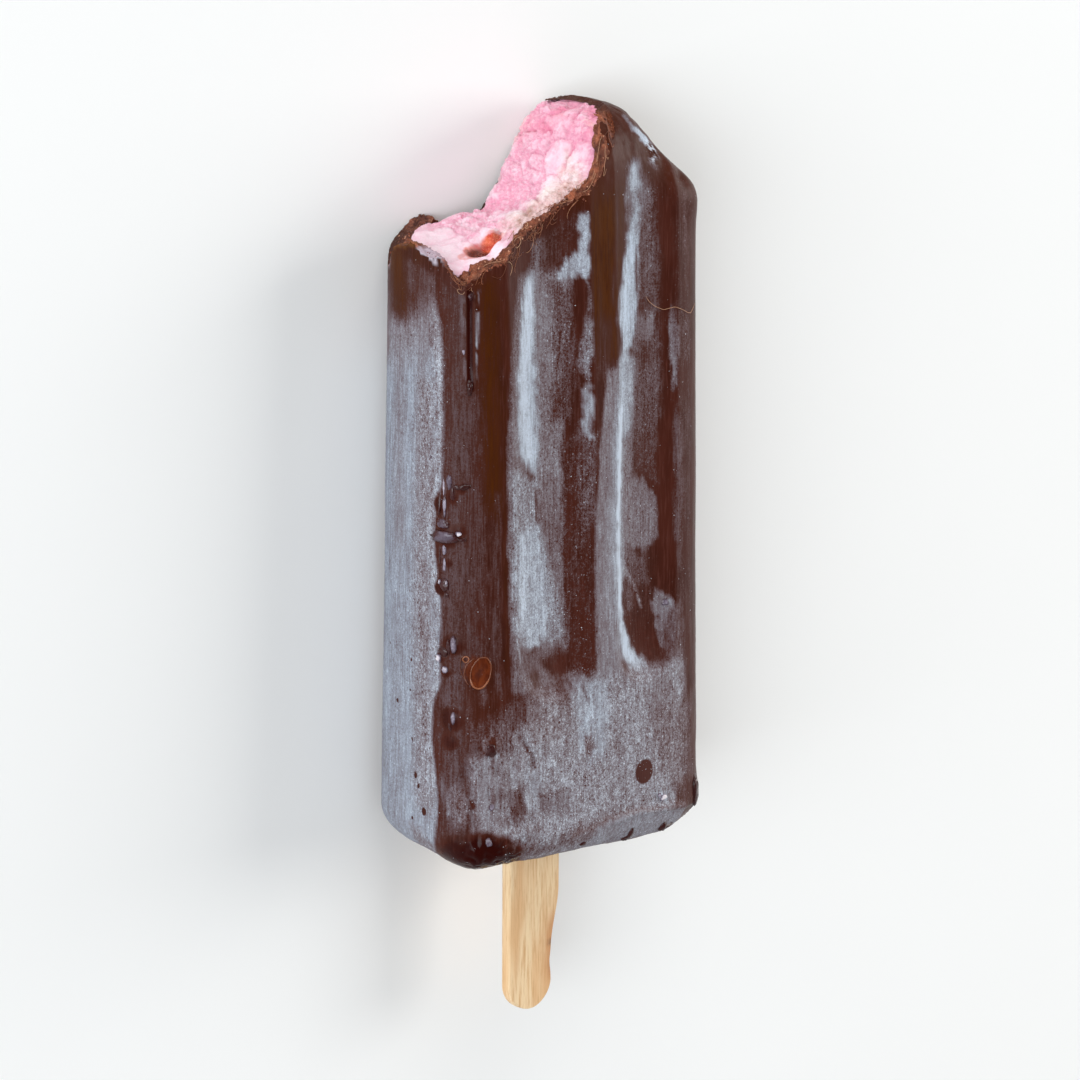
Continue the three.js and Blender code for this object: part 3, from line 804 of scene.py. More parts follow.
SIDE_PITS = (  # small popped bubbles in the side's frost: place, radii
    ((-23.4, 23.9, -3.0), (1, 0.34, 0.28)), ((-23.5, 14.0, 1.4), (1, 0.5, 0.36)), ((-23.5, 12.6, 2.1), (1, 0.4, 0.26)),
    ((-23.5, 9.1, 3.3), (1, 0.62, 0.45)), ((-23.6, 7.4, 0.7), (1, 0.26, 0.24)), ((-23.3, 30.8, 0.3), (1, 0.24, 0.2)),
    ((-23.4, 26.3, 0.1), (1, 0.2, 0.18)), ((-23.4, 19.2, 0.6), (1, 0.3, 0.2)), ((-23.1, 31.9, -5.0), (1, 0.24, 0.2)))


def chocolate_material():
    """Dark coating, softly glossy where bare, with pale frost rubbed and grown over it; the frost level also carries
    painted highlights and sheen.
    """
    m, nt, bsdf = new_material("chocolate_frosted")
    g = Graph(nt)
    frost, wet, grain, cool, olive = (g.attr(k) for k in ("frost", "wet", "grain", "cool", "olive"))
    dust = g.noise(g.place((3.1, 2.4, 3.1)), 1.0, 3.0, 0.65)
    powder = g.noise(g.place((7.4, 6.2, 7.4), (3, 1, 7)), 1.0, 2.0, 0.65)
    brush = g.noise(g.place((3.4, 0.16, 3.4), (5, 2, 1)), 1.0, 3.0, 0.62)
    broad = g.noise(g.place((0.3, 0.09, 0.3), (9, 4, 2)), 1.0, 2.0, 0.5)
    drift = g.noise(g.place((0.95, 0.5, 0.95), (2, 7, 4)), 1.0, 5.0, 0.62, 0.6)
    half = lambda v: g.math("SUBTRACT", v, 0.5)
    times = lambda a, b: g.math("MULTIPLY", a, b)
    plus = lambda a, b: g.math("ADD", a, b)
    # frost is uneven by grain, by strokes along the bar and by broad clouds
    shown = g.ramp(frost, 0.0, 0.3, 0.35, 1.0, "LINEAR")
    rough_part = plus(plus(times(half(dust), 1.05), times(half(powder), 1.2)), times(half(drift), 0.75))
    level = plus(frost, times(times(rough_part, grain), shown))
    level = plus(level, times(times(half(brush), 0.55), shown))
    level = plus(level, times(half(broad), 0.16))
    # single crystals and single bare dots
    cell = nt.nodes.new("ShaderNodeTexVoronoi")
    g.put(cell.inputs["Vector"], g.place((2.6, 2.0, 2.6), (1, 6, 3)))
    cell.inputs["Scale"].default_value = 1.0
    pick = nt.nodes.new("ShaderNodeSeparateColor")
    nt.links.new(cell.outputs["Color"], pick.inputs["Color"])
    dot = g.ramp(cell.outputs["Distance"], 0.3, 0.16)
    bright = times(dot, times(g.ramp(pick.outputs["Red"], 0.7, 0.74), times(pick.outputs["Green"], grain)))
    bare = times(g.ramp(cell.outputs["Distance"], 0.42, 0.2), times(g.ramp(pick.outputs["Red"], 0.2, 0.16), times(grain, shown)))
    level = plus(level, times(bright, 0.5))
    level = g.math("SUBTRACT", level, times(bare, 0.3))
    level = times(level, g.ramp(wet, 0.5, 0.1))
    # a bare round spot, and pits in the frost of the side
    spot = g.ramp(times(g.away((8.7, 10.9, 13.1), (1.65, 1.85, 3)), plus(0.9, times(powder, 0.2))), 1.08, 0.92)
    level = plus(level, times(spot, g.math("SUBTRACT", 0.13, level)))
    for at, size in SIDE_PITS:
        dent = g.ramp(times(g.away(at, size), plus(0.6, times(powder, 0.8))), 1.15, 0.8)
        level = g.math("SUBTRACT", level, times(times(dent, level), 0.85))
    stops = nt.nodes.new("ShaderNodeValToRGB")
    nt.links.new(level, stops.inputs["Fac"])
    el = stops.color_ramp.elements
    for k, (at, rgb) in enumerate(FROST_STOPS):
        e = el[k] if k < 2 else el.new(at)
        e.position = at
        e.color = (*[v * 0.97 for v in srgb(*rgb)], 1.0)
    tint = g.mix(cool, (1.1, 0.97, 0.9), (0.88, 1.0, 1.08))
    frosted = g.mix(1.0, stops.outputs["Color"], tint, "MULTIPLY")
    brown = g.mix(g.ramp(broad, 0.35, 0.7), srgb(70, 31, 22), srgb(56, 22, 13))
    brown = g.mix(g.ramp(brush, 0.45, 0.75), brown, srgb(84, 44, 36))
    brown = g.mix(olive, brown, g.mix(g.ramp(brush, 0.35, 0.75), srgb(76, 36, 4), srgb(60, 23, 2)))
    brown = g.mix(g.ramp(wet, 0.25, 0.8), brown, srgb(44, 6, 3))
    skin_colour = g.mix(g.ramp(level, 0.0, 0.2), brown, frosted)
    # a gold highlight painted along the rim on the left side
    skin_colour = g.mix(g.attr("rim_gold_highlight"), skin_colour, srgb(114, 70, 34))
    skin_colour = g.mix(g.attr("amber"), skin_colour, g.mix(g.ramp(drift, 0.35, 0.65), srgb(112, 50, 22), srgb(84, 32, 13)))
    skin_colour = g.mix(g.attr("melt"), skin_colour, g.mix(g.attr("pinkish"), srgb(206, 196, 208), srgb(236, 198, 200)))
    g.put(bsdf.inputs["Base Color"], skin_colour)
    rough = plus(0.36, g.ramp(level, 0.05, 0.7, 0.0, 0.34, "LINEAR"))
    rough = plus(rough, times(half(dust), 0.12))
    rough = g.math("SUBTRACT", rough, times(wet, 0.2), clamp=True)
    g.put(bsdf.inputs["Roughness"], rough)
    bsdf.inputs["IOR"].default_value = 1.16
    g.put(bsdf.inputs["Coat Weight"], g.ramp(wet, 0.3, 0.8, 0.0, 0.14))
    bsdf.inputs["Coat Roughness"].default_value = 0.1
    bsdf.inputs["Coat IOR"].default_value = 1.36
    h = plus(times(powder, 0.5), plus(times(brush, 0.3), times(dust, 0.8)))
    h = times(h, plus(0.25, times(grain, 0.75)))
    g.put(bsdf.inputs["Normal"], g.bump(h, 0.4, 0.00012))
    return m


def broken_material():
    """The coating's broken edge: crumbly, lighter and warmer than its skin, with painted shade in its cracks and
    hollows.
    """
    m, nt, bsdf = new_material("chocolate_broken")
    g = Graph(nt)
    deep = g.attr("deep")
    a = g.noise(g.place((0.9, 0.9, 0.9)), 1.0, 4.0, 0.65)
    b = g.noise(g.place((4.0, 4.0, 4.0), (2, 5, 1)), 1.0, 3.0, 0.6)
    fibre = g.noise(g.place((4.5, 0.7, 4.5), (6, 1, 8)), 1.0, 3.0, 0.6)
    col = g.mix(g.ramp(a, 0.35, 0.68), srgb(118, 56, 34), srgb(170, 92, 60))
    col = g.mix(g.ramp(fibre, 0.5, 0.72), col, srgb(186, 118, 82))
    col = g.mix(g.ramp(fibre, 0.42, 0.3), col, srgb(84, 38, 22))
    col = g.mix(g.ramp(b, 0.52, 0.76), col, srgb(200, 138, 104))
    col = g.mix(g.attr("far"), col, srgb(64, 32, 18))
    # a gold highlight painted along the rim on the left side
    col = g.mix(g.attr("rim_gold_highlight"), col, g.mix(b, srgb(150, 102, 54), srgb(110, 66, 30)))
    # a tan highlight painted on the knob's break
    col = g.mix(g.attr("knob_highlight"), col, g.mix(g.ramp(b, 0.4, 0.7), srgb(158, 80, 58), srgb(212, 156, 124)))
    # painted shade in the break's hollows and along its crack
    col = g.mix(deep, col, srgb(66, 26, 14))
    col = g.mix(g.attr("melt"), col, g.mix(g.attr("pinkish"), g.mix(b, srgb(214, 196, 206), srgb(170, 150, 168)), srgb(236, 198, 200)))
    g.put(bsdf.inputs["Base Color"], col)
    g.put(bsdf.inputs["Roughness"], g.ramp(b, 0.2, 0.8, 0.5, 0.75))
    bsdf.inputs["IOR"].default_value = 1.4
    g.put(bsdf.inputs["Normal"], g.bump(g.math("ADD", b, fibre), 0.5, 0.00025))
    return m


def cream_material():
    """Strawberry ice cream: pale where it melts, deeper pink at the top, with shade painted into its creases as deeper
    pink and into the fruit pit's hollow as dark brown.
    """
    m, nt, bsdf = new_material("strawberry_ice_cream")
    g = Graph(nt)
    tone, crease, jam = g.attr("tone"), g.attr("crease"), g.attr("jam")
    cream, dark, speck = g.attr("cream"), g.attr("dark"), g.attr("speck")
    a = g.noise(g.place((0.7, 0.7, 0.7)), 1.0, 4.0, 0.6)
    b = g.noise(g.place((3.2, 3.2, 3.2), (2, 5, 1)), 1.0, 3.0, 0.6)
    t = g.math("ADD", tone, g.math("MULTIPLY", g.math("SUBTRACT", a, 0.5), 0.5))
    t = g.math("ADD", t, g.math("MULTIPLY", g.math("SUBTRACT", b, 0.5), 0.3))
    col = g.mix(g.ramp(t, 0.0, 0.5), srgb(250, 230, 237), srgb(248, 206, 219))
    col = g.mix(g.ramp(t, 0.5, 1.0), col, srgb(238, 150, 172))
    col = g.mix(g.attr("peach"), col, srgb(240, 204, 188))
    col = g.mix(cream, col, g.mix(g.ramp(a, 0.4, 0.62), srgb(254, 244, 244), srgb(248, 230, 224)))
    # painted shade in the creases: deep pink, beige where the cream is pale
    fold = g.math("MULTIPLY", crease, g.ramp(b, 0.2, 0.6, 0.4, 1.0))
    col = g.mix(g.math("MULTIPLY", fold, 0.8), col, g.mix(cream, srgb(224, 134, 164), srgb(212, 168, 160)))
    col = g.mix(speck, col, srgb(150, 104, 80))
    col = g.mix(jam, col, g.mix(g.ramp(g.math("ADD", g.math("MULTIPLY", a, 0.7), g.math("MULTIPLY", b, 0.3)), 0.38, 0.62), srgb(198, 58, 28), srgb(226, 104, 58)))
    # painted shade in the fruit pit's hollow
    col = g.mix(dark, col, g.mix(g.ramp(b, 0.35, 0.65), srgb(84, 26, 12), srgb(128, 50, 26)))
    g.put(bsdf.inputs["Base Color"], col)
    rough = g.math("SUBTRACT", g.ramp(b, 0.3, 0.8, 0.45, 0.62), g.math("MULTIPLY", jam, 0.25))
    g.put(bsdf.inputs["Roughness"], rough)
    bsdf.inputs["Subsurface Weight"].default_value = 0.15
    bsdf.inputs["Subsurface Radius"].default_value = (1.0, 0.7, 0.7)
    bsdf.inputs["Subsurface Scale"].default_value = 0.0008
    g.put(bsdf.inputs["Normal"], g.bump(g.math("ADD", b, g.noise(g.place((8, 8, 8)), 1.0, 2.0)), 0.45, 0.0002))
    return m


def wood_material():
    """Unvarnished birch, its grain a little aslant, stained where it was wet on one edge."""
    m, nt, bsdf = new_material("birch_stick")
    g = Graph(nt)
    stain, spot = g.attr("stain"), g.attr("spot")
    tilt = (0, 0, math.radians(-9))
    fibre = g.noise(g.place((3.0, 0.16, 3.0), (1, 2, 3), tilt), 1.0, 4.0, 0.6)
    rays = g.noise(g.place((7.0, 0.5, 7.0), (4, 2, 9), tilt), 1.0, 3.0, 0.6)
    board = g.noise(g.place((0.45, 0.05, 0.45), (3, 8, 2), tilt), 1.0, 2.0, 0.5)
    col = g.mix(g.ramp(board, 0.35, 0.7), srgb(242, 212, 168), srgb(228, 184, 134))
    col = g.mix(g.ramp(fibre, 0.42, 0.75), col, srgb(212, 164, 112))
    col = g.mix(g.math("MULTIPLY", g.ramp(rays, 0.55, 0.8), 0.5), col, srgb(190, 142, 92))
    col = g.mix(g.math("MULTIPLY", stain, 0.85), col, srgb(196, 130, 74))
    col = g.mix(spot, col, srgb(92, 66, 40))
    g.put(bsdf.inputs["Base Color"], col)
    g.put(bsdf.inputs["Roughness"], g.ramp(fibre, 0.3, 0.8, 0.5, 0.7))
    h = g.math("ADD", g.math("MULTIPLY", fibre, 0.7), g.math("MULTIPLY", rays, 0.4))
    g.put(bsdf.inputs["Normal"], g.bump(h, 0.4, 0.00015))
    return m


def floor_material():
    m, nt, bsdf = new_material("pale_table")
    g = Graph(nt)
    n = g.noise(g.place((0.02, 0.02, 0.02)), 1.0, 2.0)
    g.put(bsdf.inputs["Base Color"], g.mix(n, (0.93, 0.925, 0.905), (0.95, 0.945, 0.925)))
    bsdf.inputs["Roughness"].default_value = 0.8
    bsdf.inputs["Specular IOR Level"].default_value = 0.2
    return m


MAT_CHOC = chocolate_material()
MAT_BROKEN = broken_material()
MAT_CREAM = cream_material()
MAT_WOOD = wood_material()
MAT_FLOOR = floor_material()


# ------------------------------------------------------------------ frost on the coating, with some highlights and sheen painted in as frost
def inside(px, py, outline):
    """Distance to a closed outline, above 0 inside it."""
    poly = np.asarray(outline, float)
    best = np.full(len(px), 1e9)
    odd = np.zeros(len(px), bool)
    for (ax, ay), (bx, by) in zip(poly, np.roll(poly, -1, 0)):
        vx, vy = bx - ax, by - ay
        t = np.clip(((px - ax) * vx + (py - ay) * vy) / (vx * vx + vy * vy), 0, 1)
        best = np.minimum(best, np.hypot(px - ax - t * vx, py - ay - t * vy))
        if ay != by:
            odd ^= ((ay > py) != (by > py)) & (px < vx * (py - ay) / vy + ax)
    return np.where(odd, best, -best)


class Painter:
    """Lays values over the coating's points, in a flat chart of the face (u across, v up)."""

    def __init__(self, p, chart_u, mask, wobble=0.3, seed=0):
        k = SLANT_X * p[:, 0] + SLANT_Z * p[:, 2]
        y = p[:, 1]
        v = np.where(y < SLANT_REACH, (y - k) / (1 - k / SLANT_REACH), y)
        q = p / np.array([1.6, 2.4, 1.6])
        self.u = chart_u + wobble * fbm(q, 3, 111 + seed)
        self.v = v + 1.6 * wobble * fbm(q, 3, 112 + seed)
        self.flat_u, self.flat_v = chart_u, v
        self.ragged = 0.5 * noise(p / np.array([0.55, 1.1, 0.55]), 115) + 0.3 * noise(p / np.array([0.4, 4.0, 0.4]), 116)
        self.mask = mask
        self.values = {}

    def start(self, **values):
        for k, v in values.items():
            self.values[k] = np.full(len(self.u), float(v))

    def lay(self, a, **values):
        a = np.clip(a * self.mask, 0, 1)
        for k, v in values.items():
            self.values[k] = self.values[k] * (1 - a) + v * a

    def patch(self, outline, soft=0.4, strength=1.0, shift=0.0, exact=False, **values):
        u, v = (self.flat_u, self.flat_v) if exact else (self.u, self.v)
        d = inside(u, v, outline) + shift
        if not exact:
            d = d + self.ragged
            soft = 1.5 * soft
        self.lay(strength * smooth(-soft, soft, d), **values)

    def line(self, pts, half, soft=0.4, strength=1.0, taper=False, exact=False, **values):
        u, v = (self.flat_u, self.flat_v) if exact else (self.u, self.v)
        d, along = polyline_distance(np.column_stack([u, v]), pts)
        w = half * (np.sin(math.pi * np.clip(along, 0.04, 0.96)) ** 0.5 if taper else 1.0)
        if not exact:
            d = d - 0.5 * self.ragged
            soft = 1.3 * soft
        self.lay(strength * smooth(soft, -soft, d - w), **values)

    def band(self, left, right, soft_left, soft_right, strength=1.0, **values):
        """Between two edges, each a list of (v, u) read as a curve up the bar."""
        lv, lu = np.array(left, float).T
        rv, ru = np.array(right, float).T
        a = smooth(-soft_left, soft_left, self.u - np.interp(self.v, lv, lu))
        b = smooth(-soft_right, soft_right, np.interp(self.v, rv, ru) - self.u)
        ends = smooth(lv[0] - 0.6, lv[0] + 0.6, self.v) * smooth(lv[-1] + 0.6, lv[-1] - 0.6, self.v)
        self.lay(strength * a * b * ends, **values)


def paint_front(pt):
    """The shown face."""
    P, L, B = pt.patch, pt.line, pt.band
    pt.lay(1.0, frost=0.06, grain=0.25, cool=0.5, olive=0.0)
    # --- left rib: bare, a grey haze along its left
    L(((-20.6, 8), (-20.4, 40), (-20.3, 84)), 0.9, 1.2, 0.8, frost=0.2, cool=0.7)
    L(((-17.4, 85), (-17.2, 70), (-16.9, 54)), 1.0, 1.3, 0.9, frost=0.0, olive=1.0)
    L(((-16.1, 84), (-16.2, 66), (-16.4, 50)), 0.18, 0.3, 0.8, frost=-0.12, olive=0.6)
    L(((-18.3, 82), (-18.0, 70), (-17.8, 58)), 0.2, 0.35, 0.6, frost=0.14)
    L(((-16.2, 56), (-16.9, 36), (-17.2, 27)), 0.5, 0.8, 0.8, frost=0.2, cool=0.6)
    L(((-15.2, 62), (-15.1, 46), (-15.2, 33)), 0.35, 0.5, 0.9, frost=0.0)
    L(((-18.8, 62), (-18.7, 40), (-18.2, 33)), 0.3, 0.6, 0.6, frost=0.17)
    L(((-14.6, 84), (-15.0, 70), (-15.3, 50), (-15.2, 30)), 0.22, 0.3, 0.9, frost=-0.14, grain=0.2, olive=0.3)
    L(((-19.0, 70), (-18.9, 50), (-18.9, 34)), 0.7, 0.8, 0.5, frost=0.22, cool=0.55)
    # --- first flute
    B(((27, -14.6), (40, -14.9), (60, -14.8), (75, -14.0), (86, -12.0)), ((27, -11), (60, -11.5), (86, -9.5)), 0.7, 0.6,
      frost=0.4, grain=0.6, cool=0.5)
    B(((56, -9.5), (70, -9.5), (86, -9.5)), ((56, -4.6), (70, -4.2), (78, -3.4), (84, -3.2), (86, -4.6)), 0.4, 0.5,
      frost=0.46, grain=0.7, cool=0.5)
    B(((27, -9.5), (45, -8.5), (57, -9.0)), ((27, -3.5), (42, -4.4), (57, -3.6)), 0.5, 0.5, frost=0.38, grain=0.6, cool=0.5)
    P(((-9.6, 76), (-9.2, 86), (-7.0, 84), (-7.2, 76), (-8.4, 71)), 0.7, 0.8, frost=0.5, grain=0.5)
    P(((-6.5, 84), (-5.2, 84.4), (-3.3, 83.6), (-2.4, 77), (-2.6, 70), (-3.8, 64), (-5.6, 70), (-6.0, 78)), 0.7, 0.8,
      frost=0.2, grain=1.0)
    # the lit wall, upper part: frost, with the wall's sheen painted in as extra paleness
    P(((-10.0, 86.2), (-11.1, 81), (-11.8, 76.5), (-12.4, 70.8), (-12.7, 65.6), (-12.2, 60.5), (-9.6, 57.2), (-8.7, 58.5),
       (-8.7, 64), (-9.0, 70), (-9.1, 77), (-9.2, 82), (-8.9, 86.4)), 0.55, frost=0.86, grain=0.3, cool=0.72)
    L(((-9.9, 84.5), (-10.6, 79), (-11.1, 72), (-11.3, 66), (-10.6, 60.5)), 0.7, 0.7, 0.9, frost=0.96, grain=0.25, cool=0.66)
    P(((-9.8, 86.2), (-9.6, 90.0), (-7.4, 90.2), (-6.4, 87.4), (-7.6, 85.4)), 0.6, 0.8, frost=0.4, grain=0.9, cool=0.6)
    P(((-8.0, 85.8), (-7.6, 90.4), (-3.4, 94.6), (-1.7, 94.4), (-2.0, 91), (-3.2, 87.8), (-5.4, 85.4)), 0.6, 0.85,
      frost=0.12, grain=0.5, cool=0.5)
    # the lit wall, lower part, scraped off at its foot: frost, with its sheen painted in as extra paleness
    P(((-14.3, 59.0), (-14.5, 46), (-13.9, 35.6), (-13.3, 33.5), (-9.3, 32.6), (-4.6, 33.4), (-4.4, 36), (-5.4, 39), (-6.2, 42),
       (-7.7, 46), (-8.4, 50.3), (-9.2, 51), (-8.9, 57)), 0.45, frost=0.6, grain=0.9, cool=0.6)
    P(((-13.4, 50), (-13.7, 44), (-13.0, 36), (-11.6, 33.4), (-9.4, 32.9), (-7.4, 35), (-7.2, 41), (-8.2, 46), (-8.7, 50.2)),
      0.5, 0.9, frost=0.8, grain=0.6, cool=0.68)
    L(((-12.0, 49), (-11.9, 43.4), (-12.4, 36.4)), 0.3, 0.35, 0.8, frost=1.0)
    L(((-13.6, 38.6), (-13.5, 34), (-12.9, 31)), 0.2, 0.25, 0.9, taper=True, frost=0.8)
    P(((-4.3, 40), (-5.0, 36), (-4.3, 32.6), (-5.5, 31.4), (-3.6, 33)), 0.4, 0.8, frost=0.36, grain=0.7)
    P(((-12.6, 32.6), (-9.3, 32.2), (-5.4, 32.0), (-5.6, 30.6), (-9.0, 29.0), (-12.2, 30.2)), 0.45, frost=0.3, grain=0.4, cool=0.45)
    P(((-8.6, 30.4), (-5.8, 30.8), (-3.4, 31.0), (-3.2, 28.4), (-5.6, 27.0), (-8.0, 28.8)), 0.7, frost=0.06, grain=0.3, cool=0.35)
    # broken strip between the first flute and the middle rib
    P(((-4.4, 62), (-4.5, 44), (-3.9, 34), (-3.4, 27.6), (-0.6, 27.4), (-0.3, 36), (-0.2, 52), (-1.2, 58), (-2.6, 62)), 0.5,
      frost=0.1, grain=1.0, cool=0.45)
    P(((-2.2, 63), (-1.9, 55), (-1.8, 48), (-0.2, 50), (0.2, 56), (0.6, 62)), 0.6, 0.8, frost=0.3, grain=1.0)
    P(((-6.2, 68.5), (-5.0, 69.2), (-4.2, 67.0), (-4.6, 64.8), (-6.4, 64.6)), 0.7, 0.85, frost=0.07, grain=1.0)
    P(((-2.9, 84), (-0.5, 84), (-0.9, 80.2), (-1.6, 76), (-2.2, 77), (-2.8, 80.8)), 0.25, frost=0.02, grain=0.15)
    L(((-0.75, 83.5), (-0.7, 78.4)), 0.3, 0.3, 0.9, frost=0.36, grain=1.0)
    P(((-1.5, 78.4), (-0.2, 78.0), (0.0, 73), (-0.9, 69.8), (-1.9, 71), (-1.6, 75)), 0.3, 0.95, frost=0.5, grain=1.0, cool=0.55)
    P(((-1.3, 69.7), (-0.4, 69.4), (-0.1, 66), (-0.5, 61.6), (-1.5, 62.2), (-1.4, 66)), 0.25, frost=0.68, grain=0.4, cool=0.62)
    # the pale flag below the bite
    P(((-1.95, 93.4), (-0.55, 93.7), (-0.38, 89.4), (-0.3, 86.5), (-0.66, 84.2), (-2.5, 84.6), (-3.7, 84.1), (-5.0, 84.5),
       (-5.1, 85.7), (-3.1, 87.4), (-2.2, 89.1), (-1.6, 91)), 0.22, frost=0.76, grain=0.55, cool=0.66)
    # --- middle rib: bare and brown above, hazed below
    B(((72, 0.4), (78, -0.2), (97, -0.4)), ((72, 4.4), (78, 4.2), (86, 5.6), (97, 6.6)), 0.3, 0.7, frost=0.0, grain=0.1, olive=1.0)
    L(((4.6, 96), (4.2, 88), (3.4, 80)), 0.45, 0.6, 0.75, frost=0.16, olive=0.2, cool=0.5)
    L(((2.0, 77), (1.6, 71)), 1.2, 1.4, 0.8, frost=0.14, olive=0.2)
    B(((24, -0.3), (50, 0.1), (60, 0.9), (71, 2.4)), ((24, 5), (71, 4.6)), 0.25, 0.8, frost=0.47, grain=0.45, cool=0.5, olive=0.0)
    B(((24, 0.6), (44, 1.4), (58, 2.4), (64, 3.2)), ((24, 5), (64, 4.8)), 0.9, 0.8, 0.8, frost=0.57, grain=0.4, cool=0.55)
    # --- second flute; its lit left wall is frost with the wall's sheen painted in as extra paleness
    P(((8.7, 97), (12.3, 95), (12.9, 82), (13.0, 70), (12.8, 60), (8.4, 60), (8.2, 74), (8.8, 88)), 0.7, frost=0.24, grain=0.8)
    P(((7.0, 99), (6.6, 94), (7.4, 89), (9.4, 89), (10.6, 93), (10.4, 98.5), (9.0, 100.6)), 0.9, frost=0.5, grain=0.5, cool=0.66)
    L(((8.6, 98.8), (8.7, 95.6)), 0.75, 0.8, 0.9, frost=0.95, grain=0.3, cool=0.7)
    L(((8.9, 95), (9.2, 91), (9.0, 88)), 0.35, 0.35, 0.8, frost=0.75, grain=0.7)
    P(((8.9, 92), (9.1, 88.5), (8.9, 83.7), (9.3, 80.2), (8.5, 77.4), (8.5, 73.3), (6.4, 72.0), (5.1, 75.2), (4.2, 77.9), (4.8, 80.4),
       (6.0, 84.6), (6.8, 88.3), (8.2, 90.4)), 0.5, frost=0.84, grain=0.45, cool=0.74)
    P(((7.9, 88.6), (7.7, 84), (8.0, 79), (6.8, 75), (5.4, 76.6), (5.4, 79.6), (6.6, 84.6)), 0.6, 0.9, frost=0.96, grain=0.3, cool=0.78)
    B(((60, 3.6), (66, 3.9), (72, 4.8)), ((60, 7.6), (66, 8.4), (72, 8.6)), 0.8, 0.9, frost=0.68, grain=0.6, cool=0.66)
    L(((6.2, 73), (5.5, 68), (5.2, 63), (4.8, 60)), 0.9, 0.8, 0.9, frost=0.86, grain=0.5, cool=0.74)
    B(((27, 6.6), (34, 5.2), (45, 4.4), (61, 4.8)), ((27, 10), (34, 7.6), (45, 7.2), (61, 8)), 0.4, 0.9, frost=0.44, grain=0.8)
    P(((9.5, 79.8), (11.8, 79.9), (11.9, 78), (9.3, 77.8)), 0.35, frost=0.16, grain=0.4)
    P(((9.9, 73), (11.5, 73), (11.6, 70.2), (9.7, 70.0)), 0.5, 0.85, frost=0.1, grain=0.6)
    P(((8.8, 77.4), (12.2, 77.4), (12.3, 74.2), (9.0, 73.8)), 0.5, 0.8, frost=0.42, grain=0.4)
    P(((5.9, 54.6), (9.6, 54.2), (12.0, 50.8), (12.9, 48.1), (12.8, 44.7), (10.4, 43.3), (7.6, 44.2), (6.0, 45)), 0.35,
      frost=0.44, grain=0.6, cool=0.5)
    P(((8.4, 61), (12.7, 60.7), (12.8, 52), (10.6, 54), (8.2, 55.6)), 0.5, 0.8, frost=0.2, grain=0.9)
    P(((6.4, 44), (10.4, 43), (11.0, 38.6), (8.8, 38.4), (6.6, 40.6)), 0.6, 0.8, frost=0.28, grain=0.8)
    P(((12.8, 62), (14.6, 62), (14.8, 45), (15.0, 37), (12.6, 36.6), (10.8, 40), (11.2, 43.4), (12.9, 44.4)), 0.3,
      frost=0.03, grain=0.2, cool=0.4)
    # a thin highlight painted along the second flute's left rim, hooked at the flute's lower end, over pale frost
    L(((4.9, 62), (4.4, 53), (4.3, 47), (4.45, 42), (4.6, 38), (4.75, 35.3)), 1.1, 1.0, 0.9, frost=0.8, grain=0.3, cool=0.68)
    L(((5.0, 65), (4.8, 60), (4.35, 50), (4.4, 43), (4.6, 37), (5.2, 33), (6.2, 30), (7.6, 27.6)), 0.36, 0.4, frost=1.12, grain=0.1, cool=0.7)
    P(((4.4, 35.5), (5.5, 35.6), (6.1, 33), (7.4, 30.2), (9.4, 27.6), (9.6, 26.2), (8.0, 25.6), (5.8, 27.6), (4.7, 31)), 0.6,
      frost=0.84, grain=0.3, cool=0.66)
    L(((5.2, 34.4), (5.9, 31), (7.4, 28)), 0.5, 0.5, frost=1.0, grain=0.15, cool=0.72)
    # bare patch beside it, and the pale fish-shaped one
    P(((6.1, 39.9), (8.0, 38.8), (10.7, 35.1), (12.3, 31.3), (12.8, 28.6), (10.9, 28.3), (9.1, 28.1), (7.5, 30), (6.7, 31.9),
       (5.7, 34.3), (5.4, 38)), 0.3, frost=0.05, grain=0.6, cool=0.4)
    P(((6.0, 39.4), (7.6, 38.6), (7.8, 35.4), (6.4, 34.6)), 0.4, 0.85, frost=0.3, grain=0.7)
    L(((6.0, 41.4), (7.4, 39.4), (8.8, 37), (9.6, 35.2)), 0.12, 0.25, 0.85, frost=0.6, grain=1.0, cool=0.3)
    P(((11.4, 37), (13.1, 36.5), (14.8, 35.6), (15.2, 34.3), (14.0, 33.1), (13.7, 30), (13.1, 28.8), (12.3, 31.9), (11.6, 35.1)),
      0.22, frost=0.42, grain=0.4, cool=0.55)
    L(((14.1, 35.1), (14.4, 34.4), (14.0, 33.4)), 0.22, 0.3, frost=0.8, grain=0.4)
    P(((13.4, 34), (16.6, 35), (16.9, 25), (13.2, 25.4)), 0.7, 0.8, frost=0.34, grain=0.5)
